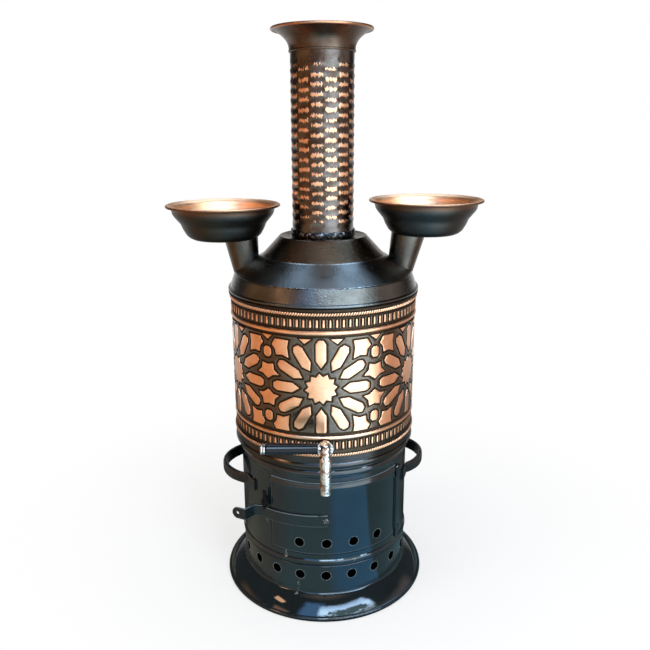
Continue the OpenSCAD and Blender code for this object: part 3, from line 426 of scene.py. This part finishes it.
# Painted highlights: pale blue lines along the door's edges, brightest along the top edge and faint at
# the bottom and sides.
door_edge_highlights = [
    (lambda place: place.axis("Z") - (door_high - 0.2), 0.12, 0.6),
    (lambda place: place.axis("Z") - (door_low + 0.2), 0.2, 0.2),
    (lambda place: (place.direction() - door_left) * (pi / 180 * fire_wall), 0.3, 0.12),
    (lambda place: (place.direction() - door_right) * (pi / 180 * fire_wall), 0.3, 0.12),
]
door_enamel = enamel("door_enamel", rims=(fire_wall, 78, -16.5, 18, 4), lines=door_edge_highlights)
softened("door_panel", "door", door_enamel, 0.3, shaped=pressed_flat)

# Door strap. A flat strap riveted to the door, bent out at the free edge into a finger tab.

strap_face, strap_middle, strap_half, strap_fall = 91.4, 104.8, 6.2, 0.0454


def off_strap(place):
    """Distance above the middle line of the strap, which falls a little to the left."""
    along = (place.direction() - 1.1) * (pi / 180 * strap_face * strap_fall)
    return place.axis("Z") - strap_middle - along


# Painted highlights: a pale blue line along the strap's top edge and a faint one along its bottom edge.
strap_enamel = enamel("strap_enamel", lines=[
    (lambda place: off_strap(place) - (strap_half - 0.2), 0.1, 0.55),
    (lambda place: off_strap(place) + (strap_half - 0.3), 0.2, 0.12),
])
softened("door_strap", "door", strap_enamel, 0.4)

rivet_head, rivet_shader, place = finish("worn_rivet", slate, 0.15, 0)
worn = place.grain(1.1, 3)
feed(rivet_shader, colour=worn.smooth(0.56, 0.62).mix((0.01, 0.013, 0.015), (0.3, 0.3, 0.28)),
     roughness=worn * 0.3 + 0.05, bump=(worn, 0.08))
dress(rivet_head, "strap_rivet")

# Turn button. A blackened plate stamped to a bottle shape, loose on its rivet.

blackened, blackened_shader, place = finish("blackened_plate", (0.003, 0.003, 0.004), 0.5, 0,
                                            **{"Specular IOR Level": 0.12})
pitted = place.grain(1.5, 4)
feed(blackened_shader, colour=pitted.mix((0.002, 0.002, 0.003), (0.005, 0.005, 0.006)),
     roughness=pitted * 0.3 + 0.4, bump=(pitted, 0.05))
dress(blackened, "button_rivet")
softened("turn_button", "button", blackened, 0.3)

# Handles. Enamelled steel strips, bent into a bow that stands clear of the wall, with the feet
# spot-welded to it.

handle_middle, handle_height, handle_foot_r = 125.5, 12.5, 90.6
bow_half, foot_half, bow_thick, foot_thick = 24.5, 36.5, 5.2, 2.2

handle_enamel, handle_shader, place = finish("handle_enamel", slate, 0.08, 0)
folds = place.grain(5, 3, 0.6)
feed(handle_shader, colour=folds.mix((0.002, 0.0025, 0.003), (0.007, 0.009, 0.011)),
     roughness=folds * 0.16 + 0.04, bump=(folds, 0.9))


def begin(name, add, **shape):
    """Adds a primitive with all else deselected, and opens it for shaping."""
    bpy.ops.object.select_all(action="DESELECT")
    add(**shape)
    piece = bpy.context.object
    piece.name = piece.data.name = name
    bpy.ops.object.mode_set(mode="EDIT")
    bpy.ops.mesh.select_all(action="SELECT")
    return piece


def complete(piece, body, slot, *materials, angle=50):
    """Leaves edit mode, settles the piece's place in its mesh, and hangs it on its body."""
    if bpy.context.object.mode == "EDIT":
        bpy.ops.object.mode_set(mode="OBJECT")
    bpy.ops.object.transform_apply(location=True, rotation=True, scale=True)
    bpy.ops.object.shade_smooth_by_angle(angle=radians(angle))
    for material in materials:
        piece.data.materials.append(material)
    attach(piece, body)


def sliced(where, normal, **clear):
    """Cuts the whole mesh at a plane."""
    bpy.ops.mesh.select_all(action="SELECT")
    bpy.ops.mesh.bisect(plane_co=where, plane_no=normal, **clear)


def bow(azimuth, turn, stand):
    """Point on a handle's middle line at a turn from the handle's own direction, and its rise."""
    rise = max(0, cos(turn / bow_half * pi / 2)) ** 0.85 if abs(turn) < bow_half else 0
    reach, aim = handle_foot_r + (stand - handle_foot_r) * rise, radians(azimuth + turn)
    return Vector((reach * sin(aim), -reach * cos(aim), 0)), rise


for node, azimuth, stand in (("handle_left", -88.7, 108.9), ("handle_right", 103.5, 110.6)):
    piece = begin(node + "_bow", bpy.ops.mesh.primitive_cylinder_add, vertices=24, radius=1, depth=2)
    for i in range(1, 72):
        sliced((0, 0, i / 36 - 1), (0, 0, 1))
    bpy.ops.object.mode_set(mode="OBJECT")
    for vertex in piece.data.vertices:
        along, across, up = vertex.co.z, vertex.co.x, vertex.co.y
        point, rise = bow(azimuth, along * foot_half, stand)
        ahead, _ = bow(azimuth, along * foot_half + 0.1, stand)
        run = (ahead - point).normalized()
        outward = run.cross(Vector((0, 0, 1)))
        thick = foot_thick + (bow_thick - foot_thick) * min(1, rise * 1.6)
        across = abs(across) ** 0.7 * (1 if across > 0 else -1)
        up = abs(up) ** 0.55 * (1 if up > 0 else -1)
        point += outward * across * thick / 2 + Vector((0, 0, handle_middle + up * handle_height / 2))
        vertex.co = point * mm
    bpy.ops.object.mode_set(mode="EDIT")
    bpy.ops.mesh.select_all(action="SELECT")
    bpy.ops.mesh.normals_make_consistent(inside=False)
    complete(piece, "firebox", "enamel", handle_enamel)
    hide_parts(node)

# Tank wall. A copper-faced sheet, darkened all over and then rubbed bright on what stands out:
# the raised lines above and below the band, and a trace along the edges.

tank_wall = 93.7
line_a, line_b, line_c, line_d = 318.8, 301.0, 196.4, 178.6
patina_dark, patina_brown = (0.018, 0.012, 0.008), (0.075, 0.05, 0.03)
copper_dark, copper_bright = (0.62, 0.27, 0.13), (0.93, 0.53, 0.32)


def copper_tone(place):
    """Rubbed copper: bright, with warmer clouds and fine hand marks."""
    return (place.grain(16, 3) * 0.7 + place.stretched(0.3, 0.3, 1).grain(0.8, 2) * 0.35).smooth(0.1, 0.7)


skin, skin_shader, place = finish("tank_skin", patina_brown, 0.35, 1)
height = place.axis("Z")
lines = (height.near(line_b, 1.9, 0.5)).either(height.near(line_c, 1.7, 0.5))
edges = height.near(166.0, 0.6, 1.2) * 0.3
worn = place.grain(3, 5, 0.6)
rubbed_and_highlight = (lines + edges + (worn - 0.5) * 0.35).smooth(0.3, 0.7)
ground = place.grain(2.2, 4).mix(patina_dark, patina_brown)
foot = height.smooth(177, 175.5)
ground = foot.mix(ground, (0.055, 0.05, 0.046))
feed(skin_shader, colour=rubbed_and_highlight.mix(ground, copper_tone(place).mix(copper_dark, copper_bright)),
     roughness=0.46 - rubbed_and_highlight * 0.18 + worn * 0.1 - foot * 0.34, bump=(worn, 0.04))
dress(skin, "tank_wall")

# Roped lines. Two of the raised lines are rolled with slanted strands, like a cord laid round the
# tank: one over the upper ribs and one under the lower ribs.

def rub(shader, place, out_low, out_high, colour=None):
    """Bright copper where the surface stands out past out_high, dark patina below out_low."""
    worn = place.grain(2.4, 5, 0.62)
    bright = (place.radius() + (worn - 0.5) * (out_high - out_low) * 1.6).smooth(out_low, out_high)
    if colour is None:
        ground = place.grain(2.2, 4).mix(patina_dark, patina_brown)
        colour = bright.mix(ground, copper_tone(place).mix(copper_dark, copper_bright))
    feed(shader, colour=colour, roughness=0.42 - bright * 0.14 + worn * 0.1, bump=(worn, 0.04))


def copies_round(count):
    """Repeats what is selected round the upright axis."""
    bpy.ops.mesh.select_all(action="SELECT")
    bpy.ops.mesh.spin(steps=count - 1, angle=2 * pi * (count - 1) / count, dupli=True,
                      center=(0, 0, 0), axis=(0, 0, 1))


def roped_line(name, radius, height, length, thickness, slant, strand_pitch):
    """A ring of slanted strands, laid side by side."""
    centre = Vector((0, -radius * mm, height * mm))
    piece = begin(name, bpy.ops.mesh.primitive_uv_sphere_add, segments=8, ring_count=8,
                  radius=mm / 2, location=(0, 0, 0))
    bpy.ops.transform.resize(value=(thickness * 1.25, thickness, length), center_override=(0, 0, 0))
    bpy.ops.transform.rotate(value=-radians(slant), orient_axis="Y", center_override=(0, 0, 0))
    bpy.ops.transform.translate(value=centre)
    copies_round(round(2 * pi * radius / strand_pitch))
    return piece


for name, radius, height in (("rope_over_ribs", 95.6, line_a), ("rope_under_ribs", 94.9, line_d)):
    material, shader, place = finish(name, copper_bright, 0.3, 1)
    rub(shader, place, radius - 0.1, radius + 0.3)
    piece = roped_line(name, radius, height, 4.2, 1.8, 40, 2.6)
    complete(piece, "boiler", "copper", material)

# Ribs. Two rows of small upright ribs are rolled into the tank sheet, one over the band and one
# under it, with a low rounded land between each two. The crests are rubbed to copper, the lands are
# brown, and the valleys stay dark.

rib_length, rib_width, rib_height, rib_pitch = 9.0, 3.6, 1.55, 6.13
land_width, land_height = 2.0, 0.8


def row_of_bumps(name, width, height, length, radius, middle, steps):
    """Bumps with round ends that stand on a wall, rib_pitch apart and turned on by steps of it."""
    piece = begin(name, bpy.ops.mesh.primitive_uv_sphere_add, segments=10, ring_count=8,
                  radius=width / 2 * mm)
    bpy.ops.transform.resize(value=(1, 2 * height / width, 1), center_override=(0, 0, 0))
    bpy.ops.object.mode_set(mode="OBJECT")
    for vertex in piece.data.vertices:
        vertex.co.z += (length - width) / 2 * mm * (1 if vertex.co.z > 0 else -1)
    bpy.ops.object.mode_set(mode="EDIT")
    count = round(2 * pi * radius / rib_pitch)
    turn = 2 * pi * steps / count
    foot = (radius * sin(turn) * mm, -radius * cos(turn) * mm, middle * mm)
    bpy.ops.transform.translate(value=foot)
    copies_round(count)
    return piece


for node, radius, middle in (("rib_row_upper", 93.9, 310.0), ("rib_row_lower", 92.8, 188.2)):
    piece = row_of_bumps(node + "_rubbed", rib_width, rib_height, rib_length, radius, middle, 0)
    material, shader, place = finish(node + "_copper", copper_bright, 0.3, 1)
    rub(shader, place, radius + 1.12, radius + 1.4)
    complete(piece, "boiler", "copper", material)
    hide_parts(node)
    lands = row_of_bumps(node + "_lands", land_width, land_height, rib_length, radius, middle, 0.5)
    material, shader, place = finish(node + "_brown", patina_brown, 0.3, 1)
    brown = place.radius().smooth(radius + 0.4, radius + 0.75).mix(patina_dark, (0.17, 0.125, 0.085))
    rub(shader, place, radius + 0.45, radius + 0.8, brown)
    complete(lands, "boiler", "copper", material)

# Embossed band. Flat rosette plates, stars and buds stand in a lattice of straps, pressed into the
# sheet as one long strip of repeats; a dark groove runs round every plate.

pitch = 106.4
band_middle, band_foot, band_top = 247.0, 202.4, 296.6
front_rosette = -1.5
seam = 176
groove = 1.5

petal = [(20.4, 0), (27.3, 4.8), (43.5, 4.8), (47.3, 2.4), (47.3, -2.4), (43.5, -4.8), (27.3, -4.8)]
corner_star = [(-10, 1.5), (-6.5, 7.5), (7.4, 7.2), (6.2, 0), (7.5, -10), (1, -7.4), (-5.5, -8.2),
               (-6.5, -2.6)]
side_star = [(0, -9.3), (5.8, -5), (12, -4.2), (7, 0.6), (6.2, 6.6), (0, 5.2), (-6.2, 6.6), (-7, 0.6),
             (-12, -4.2), (-5.8, -5)]
bud = [(-4.3, -2.8), (-2, -5.2), (2, -5.2), (4.3, -2.8), (4.3, 2.8), (2, 5.2), (-2, 5.2), (-4.3, 2.8)]
chip = [(-5.6, 2.2), (5.6, 2.2), (0.6, -2.4)]


def star(tip, notch, points):
    """Outline of a star with this many points."""
    reach = [tip, notch] * points
    turns = [pi / points * (i + 0.5) for i in range(2 * points)]
    return [(r * cos(a), r * sin(a)) for r, a in zip(reach, turns)]


def placed(outline, x=0, y=0, flip_x=1, flip_y=1, turn=0):
    """Turns an outline about the rosette's middle by degrees, mirrors it, and sets it at x, y."""
    c, s = cos(radians(turn)), sin(radians(turn))
    return [(x + flip_x * (px * c - py * s), y + flip_y * (px * s + py * c)) for px, py in outline]


plates = [star(15.3, 12, 12)]
plates += [placed(petal, turn=30 * i) for i in range(12)]
plates += [placed(corner_star, 38 * fx, 38.8 * fy, -fx, fy) for fx in (-1, 1) for fy in (-1, 1)]
for side in (-1, 1):
    plates.append(placed(side_star, pitch / 2, 14.6 * side, 1, side))
    plates.append(placed(bud, pitch / 2, 32.5 * side))
    plates.append(placed(chip, 14.6 * side, 46.2, side))
plates.append(placed(chip, pitch / 2, 47))


def anticlockwise(outline):
    """The same outline, run round to the left."""
    area = sum(ax * by - bx * ay for (ax, ay), (bx, by) in zip(outline, outline[1:] + outline[:1]))
    return outline if area > 0 else outline[::-1]


def grown(outline, by):
    """Moves every side of an outline outwards."""
    outline = anticlockwise(outline)
    grown_outline = []
    around = zip(outline[-1:] + outline[:-1], outline, outline[1:] + outline[:1])
    for (last_x, last_y), (x, y), (next_x, next_y) in around:
        before = Vector((y - last_y, last_x - x)).normalized()
        after = Vector((next_y - y, x - next_x)).normalized()
        middle = (before + after).normalized()
        shift = middle * by / max(0.6, middle.dot(before))
        grown_outline.append((x + shift.x, y + shift.y))
    return grown_outline


def eased(outline, radius):
    """Rounds the corners of an outline, with less on short sides."""
    outline = [Vector(point) for point in anticlockwise(outline)]
    points = []
    for before, corner, after in zip(outline[-1:] + outline[:-1], outline, outline[1:] + outline[:1]):
        cut = min(radius, (before - corner).length / 3, (after - corner).length / 3)
        start = corner + (before - corner).normalized() * cut
        end = corner + (after - corner).normalized() * cut
        points += [start, (start + end) / 4 + corner / 2, end]
    return points


def pressed_sheet(name, outlines, holes, top, edge, bottom=-0.25):
    """Flat sheet cut to outlines with holes, rounded along its edges, then stood up to face -Y."""
    curve = bpy.data.curves.new(name, "CURVE")
    curve.dimensions, curve.fill_mode = "2D", "BOTH"
    thickness = top - bottom
    curve.bevel_depth, curve.bevel_resolution = edge * mm, 1
    curve.extrude, curve.offset = (thickness / 2 - edge) * mm, -edge * mm
    for points in outlines + [hole[::-1] for hole in holes]:
        spline = curve.splines.new("POLY")
        spline.points.add(len(points) - 1)
        for knot, (x, y) in zip(spline.points, points):
            knot.co = (x * mm, y * mm, 0, 1)
        spline.use_cyclic_u = True
    bpy.ops.object.select_all(action="DESELECT")
    piece = bpy.data.objects.new(name, curve)
    studio.collection.objects.link(piece)
    bpy.context.view_layer.objects.active = piece
    piece.select_set(True)
    piece.location = (0, -(top + bottom) / 2 * mm, 0)
    piece.rotation_euler = (pi / 2, 0, 0)
    bpy.ops.object.convert(target="MESH")
    bpy.ops.object.transform_apply(location=True, rotation=True, scale=True)
    return bpy.context.object


def sealed():
    """Merges doubles and turns every face outwards."""
    bpy.ops.mesh.select_all(action="SELECT")
    bpy.ops.mesh.remove_doubles(threshold=0.004 * mm)
    bpy.ops.mesh.normals_make_consistent(inside=False)


def strip_round_tank(piece, tile):
    """Trims one repeat, lays copies of it side by side, and rolls the strip round the tank."""
    bpy.ops.object.mode_set(mode="EDIT")
    sealed()
    sliced((0, 0, (band_foot - band_middle) * mm), (0, 0, 1), clear_inner=True, use_fill=True)
    sliced((0, 0, (band_top - band_middle) * mm), (0, 0, 1), clear_outer=True, use_fill=True)
    if tile:
        sliced((-pitch / 2 * mm, 0, 0), (1, 0, 0), clear_inner=True)
        sliced((pitch / 2 * mm, 0, 0), (1, 0, 0), clear_outer=True)
    cuts = 40
    reach = pitch / 2 + (0 if tile else 14)
    for i in range(1, round(2 * reach / pitch * cuts)):
        sliced(((-reach + i * pitch / cuts) * mm, 0, 0), (1, 0, 0))
    bpy.ops.object.mode_set(mode="OBJECT")
    array = piece.modifiers.new("repeats", "ARRAY")
    array.count, array.use_relative_offset, array.use_constant_offset = 7, False, True
    array.constant_offset_displace = (pitch * mm, 0, 0)
    array.use_merge_vertices, array.merge_threshold = tile, 0.02 * mm
    bpy.ops.object.modifier_apply(modifier=array.name)
    bpy.ops.object.mode_set(mode="EDIT")
    bpy.ops.mesh.select_all(action="SELECT")
    bpy.ops.transform.translate(value=(-3 * pitch * mm, 0, 0))
    end = radians(seam) * tank_wall * mm
    sliced((-end, 0, 0), (1, 0, 0), clear_inner=True, use_fill=True)
    sliced((end, 0, 0), (1, 0, 0), clear_outer=True, use_fill=True)
    sealed()
    bpy.ops.object.mode_set(mode="OBJECT")
    for vertex in piece.data.vertices:
        x, y, z = vertex.co
        angle = x / (tank_wall * mm) + radians(front_rosette)
        reach = tank_wall * mm - y
        vertex.co = reach * sin(angle), -reach * cos(angle), z + band_middle * mm


plate_copper, plate_shader, place = finish("plate_copper", copper_bright, 0.3, 1)
worn = place.grain(9, 4, 0.5)
brushed = place.stretched(0.25, 0.25, 1).grain(0.7, 3)
lifted = (place.radius() + (worn - 0.5) * 0.25).smooth(94.3, 94.7)
tone = copper_tone(place).mix((0.62, 0.29, 0.16), copper_bright)
feed(plate_shader, colour=lifted.mix(patina_dark, tone),
     roughness=0.42 - lifted * 0.14 + brushed * 0.08, bump=(brushed * 0.5 + worn, 0.03))
raised = pressed_sheet("band_plates", [eased(plate, 0.5) for plate in plates], [], 1.2, 0.3)
strip_round_tank(raised, False)
complete(raised, "boiler", "copper", plate_copper, angle=40)
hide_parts("motif_relief")

strap_patina, strap_shader, place = finish("strap_patina", patina_brown, 0.38, 1)
worn = place.grain(2.6, 5, 0.62)
lifted = (place.radius() + (worn - 0.5) * 0.4).smooth(94.3, 94.7)
tone = worn.mix((0.06, 0.046, 0.035), (0.17, 0.14, 0.11))
feed(strap_shader, colour=lifted.mix((0.012, 0.009, 0.007), tone),
     roughness=worn * 0.16 + 0.16, bump=(worn, 0.12))
half_wide, half_tall = 0.9 * pitch, 56
frame_outline = [(-half_wide, -half_tall), (half_wide, -half_tall), (half_wide, half_tall),
                 (-half_wide, half_tall)]
holes = [eased(grown(placed(plate, shift * pitch), groove), 1.2)
         for shift in (-1, 0, 1) for plate in plates]
holes = [hole for hole in holes if all(abs(x) < 0.88 * pitch for x, y in hole)]
lattice = pressed_sheet("band_straps", [frame_outline], holes, 1.0, 0.6)
strip_round_tank(lattice, True)
complete(lattice, "boiler", "patina", strap_patina, angle=40)

# Shoulder. A spun steel top in two cones over a short skirt, dished at the collar for the chimney;
# lacquered dark bronze over a coarse blasted skin, with a painted highlight along its creases.


def bronze(name, dark, pale, creases=()):
    """Dark lacquered bronze over a blasted skin. creases gives skirt top, cone break and collar."""
    material, shader, place = finish(name, (0.09, 0.086, 0.08), 0.36, 1)
    cloud = place.grain(24, 4)
    colour = cloud.smooth(0.3, 0.7).mix(dark, pale)
    peel = place.grain(1.5, 2, 0.6)
    relief, roughness = peel * 2, cloud * 0.12 + 0.22
    if creases:
        height = place.axis("Z")
        edge, low, high = creases
        turned = place.stretched(0, 0, 1).grain(1.1, 2)
        relief = relief + turned * height.smooth(low, low + 2) * height.smooth(high, high - 2) * 2
        roughness = roughness - height.smooth(edge + 0.5, edge - 0.5) * 0.1
        cone = cloud.mix((0.08, 0.056, 0.036), (0.125, 0.088, 0.057))
        colour = height.smooth(low, low + 0.5).mix(colour, cone)
        # Painted highlight: a pale line along the cone break and the skirt top, as light catching the
        # creases.
        rubbed_and_highlight = height.near(low, 0.15, 0.35).either(height.near(edge, 0.15, 0.35))
        rubbed_and_highlight = rubbed_and_highlight * peel.smooth(0.35, 0.55)
        colour = (rubbed_and_highlight * 0.7).mix(colour, (0.5, 0.48, 0.45))
    feed(shader, colour=colour, roughness=roughness, bump=(relief, 0.12))
    return material


skirt_top, cone_break, collar = 341.5, 358.5, 377.8
shoulder_bronze = bronze("shoulder_bronze", (0.08, 0.077, 0.07), (0.13, 0.126, 0.117),
                         (skirt_top, cone_break, collar))
softened("shoulder", "boiler", shoulder_bronze, 0.8, 12, 3)

# Necks. Tapered tubes rolled from sheet, brazed to the shoulder below and to the bowls above, and
# lacquered a darker bronze than the shoulder.

neck_bronze = bronze("neck_bronze", (0.055, 0.048, 0.04), (0.09, 0.078, 0.064))
dress(neck_bronze, "neck_left", "neck_right")

# Bowls. Spun copper bowls that hold a teapot; dark bronze outside, polished inside, with a wire
# rolled into the rim.

for node, centre, rim in (("bowl_left", -99.9, 408.7), ("bowl_right", 103.3, 413.0)):
    material, shader, place = finish(node + "_copper", copper_bright, 0.25, 1)
    tree = material.node_tree
    normal = Field(tree, tree.nodes["Texture Coordinate"].outputs["Normal"])
    across = place.axis("X") - centre
    away = place.axis("Y")
    facing_out = (across * normal.axis("X") + away * normal.axis("Y")) / 50
    inside = (normal.axis("Z").smooth(0.35, 0.6)).either(facing_out.smooth(0.05, -0.2))
    worn = place.grain(14, 3)
    under_rim = place.axis("Z").smooth(rim - 9, rim - 2)
    outside = worn.mix((0.04, 0.04, 0.036), (0.062, 0.06, 0.053))
    outside = under_rim.mix(outside, (0.16, 0.085, 0.05))
    polished = worn.mix((0.92, 0.44, 0.22), (0.98, 0.57, 0.32))
    feed(shader, colour=inside.mix(outside, polished), roughness=worn * 0.1 + 0.4)
    softened(node, "boiler", material, 0.2, 75)

# Tap. A cast and plated tap screwed through the tank wall against a rubber seal, with a round
# flange outside and a nut inside. Hand polishing has left the plating wavy.

nickel, nickel_shader, place = finish("plated_nickel", (0.7, 0.68, 0.64), 0.08, 1)
cloud, stain = place.grain(4, 4), place.grain(6, 3).smooth(0.54, 0.6)
plating = cloud.mix((0.42, 0.38, 0.34), (0.72, 0.69, 0.64))
feed(nickel_shader, colour=stain.mix(plating, (0.3, 0.17, 0.12)),
     roughness=cloud * 0.14 + 0.02, bump=(place.grain(2.6, 3), 0.45))
dress(nickel, "tap_flange", "tap_body")
rubber, rubber_shader, place = finish("black_rubber", (0.012, 0.012, 0.012), 0.6, 0)
feed(rubber_shader, roughness=place.grain(2, 3) * 0.3 + 0.45)
dress(rubber, "tap_gasket", "plug_ring")

# Tap key. The ground plug with its cap, and a lever with a black moulded grip between the cap and
# a ringed ferrule.

dress(nickel, "tap_plug", "lever_rod", "lever_ferrule")
moulded, moulded_shader, place = finish("moulded_grip", (0.006, 0.007, 0.01), 0.08, 0,
                                        **{"Specular IOR Level": 0.25})
feed(moulded_shader, colour=place.grain(6, 3).mix((0.004, 0.005, 0.007), (0.009, 0.011, 0.016)),
     roughness=place.grain(4, 4) * 0.12 + 0.05)
dress(moulded, "lever_grip")

# Chimney. A tube hammered over a stake in upright columns: each blow leaves a smooth hollow, and
# the ridges between blows are rubbed to copper. The columns are staggered by half a blow.

tube_outer, tube_inner, tube_low, tube_high = 30.7, 29.9, 376.0, 551.2
columns, first_column = 14, -10.1
top_ridge, ridge_pitch, ridge_rows = 537.6, 8.98, 16
hollow_r, ridge_r, border_r = 30.32, 30.9, 30.6
rows_out, rows_in = 234, 3

bpy.ops.object.select_all(action="DESELECT")
bpy.ops.mesh.primitive_grid_add(x_subdivisions=columns * 16, y_subdivisions=rows_out + rows_in,
                                size=1)
chimney = bpy.context.object
chimney.name = chimney.data.name = "chimney_hammered"


def step(value, low, high):
    """0 at low and 1 at high, with a soft step between."""
    t = min(1, max(0, (value - low) / (high - low)))
    return t * t * (3 - 2 * t)


def hammered(azimuth, height):
    """Radius of the tube's face at a direction and a height, and how near it is to a ridge."""
    place = (azimuth - first_column) * columns / 360
    column = round(place)
    blow = (top_ridge - column % 2 * ridge_pitch / 2 - height) / ridge_pitch
    row = round(blow)
    chance = noise.cell_vector(Vector((column % columns + 0.5, row + 0.5, 3.5)))
    across = abs(place - column + 0.03 * (chance.z - 0.5)) * 2
    away = abs(blow - row + 0.1 * (chance.x - 0.5))
    last = ridge_rows - column % 2
    worked = step(blow, -1.1, -0.2) * (1 - step(blow, last + 0.2, last + 1.1))
    hollow = sin(pi * min(0.5, away)) ** 1.3
    face = ridge_r + (hollow_r - ridge_r) * hollow
    face += (border_r - face) * step(across, 0.72, 1.02)
    strength = (0.8 + 0.25 * chance.y) * (1 if 0 < row < last else 0.8 if row in (0, last) else 0)
    near = strength * (1 - away / 0.5) * (1 - step(across, 0.66 + 0.1 * chance.y, 1.08))
    return tube_outer + (face - tube_outer) * worked, near * min(1, worked * 2)


inner_rows = ((tube_inner, tube_high), (tube_inner, tube_low), (tube_outer, tube_low))
ridge = chimney.data.attributes.new("ridge", "FLOAT", "POINT")
for vertex in chimney.data.vertices:
    azimuth = vertex.co.x * 360
    row = round((vertex.co.y + 0.5) * (rows_out + rows_in))
    height = tube_low + (tube_high - tube_low) * min(row, rows_out) / rows_out
    reach, ridge.data[vertex.index].value = hammered(azimuth, height)
    if row > rows_out:
        reach, height = inner_rows[row - rows_out - 1]
    turn = radians(azimuth)
    vertex.co = Vector((reach * sin(turn), -reach * cos(turn), height)) * mm
bpy.ops.object.mode_set(mode="EDIT")
bpy.ops.mesh.select_all(action="SELECT")
bpy.ops.mesh.remove_doubles(threshold=0.01 * mm)
bpy.ops.mesh.normals_make_consistent(inside=False)

tube_finish, tube_shader, place = finish("hammered_tube", patina_brown, 0.3, 1)
near_ridge = place.node("Attribute", {"attribute_name": "ridge"}, {}, out=2)
teeth = place.stretched(1, 1, 0.25).grain(1.1, 1)
worn = place.grain(1.6, 4, 0.65)
bright = (near_ridge + (teeth - 0.5) * 1.3 + (worn - 0.5) * 0.3).smooth(0.55, 0.72)
cloud = place.grain(16, 4)
speckle = place.stretched(1, 1, 0.4).grain(0.9, 3, 0.7).smooth(0.62, 0.74)
dark = cloud.smooth(0.35, 0.65).mix((0.06, 0.042, 0.033), (0.115, 0.1, 0.09))
dark = (speckle * 0.5).mix(dark, (0.4, 0.3, 0.22))
tone = copper_tone(place).mix((0.66, 0.29, 0.14), (0.88, 0.48, 0.28))
feed(tube_shader, colour=bright.mix(dark, tone),
     roughness=0.2 + worn * 0.12 + bright * 0.2, bump=(worn * 0.6 + bright * 0.4, 0.06))
complete(chimney, "chimney", "dark_bronze", tube_finish, angle=60)
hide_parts("chimney_tube")

# Bead of solder round the foot of the chimney, run in by hand, lumpy and scraped.

solder, solder_shader, place = finish("scraped_solder", (0.4, 0.39, 0.38), 0.3, 1)
lumps = place.grain(3.4, 3, 0.6)
feed(solder_shader, colour=lumps.smooth(0.45, 0.65).mix((0.015, 0.015, 0.015), (0.16, 0.16, 0.17)),
     roughness=lumps * 0.25 + 0.2, bump=(lumps, 0.5))
piece = begin("chimney_solder", bpy.ops.mesh.primitive_torus_add,
              major_segments=120, minor_segments=10, major_radius=(tube_outer + 0.3) * mm,
              minor_radius=1.4 * mm, location=(0, 0, (tube_low + 4.2) * mm))
bpy.ops.object.mode_set(mode="OBJECT")
for vertex in piece.data.vertices:
    lump = noise.noise(vertex.co * 180) * 1.1 + noise.noise(vertex.co * 420) * 0.6
    outward = Vector((vertex.co.x, vertex.co.y, 0)).normalized()
    vertex.co.z *= 2.5
    vertex.co += outward * max(-0.8, lump) * 0.5 * mm + Vector((0, 0, lump * 1.2 * mm))
complete(piece, "chimney", "dark_bronze", solder)

# Flare. A spun cone with a wire rolled into its lip, lapped over the top of the tube.

flare_finish, flare_shader, place = finish("flare_bronze", (0.07, 0.055, 0.045), 0.36, 1)
lip = (place.radius() + (place.grain(3, 3) - 0.5) * 1.2).smooth(46.8, 47.8)
cloud = place.grain(16, 4)
turned = place.stretched(0.05, 0.05, 1).grain(0.9, 3)
dark = cloud.smooth(0.3, 0.7).mix((0.072, 0.047, 0.033), (0.12, 0.083, 0.06))
feed(flare_shader, colour=lip.mix(dark, (0.42, 0.2, 0.11)), roughness=turned * 0.2 + 0.25,
     bump=(turned, 0.04))
dress(flare_finish, "chimney_flare")
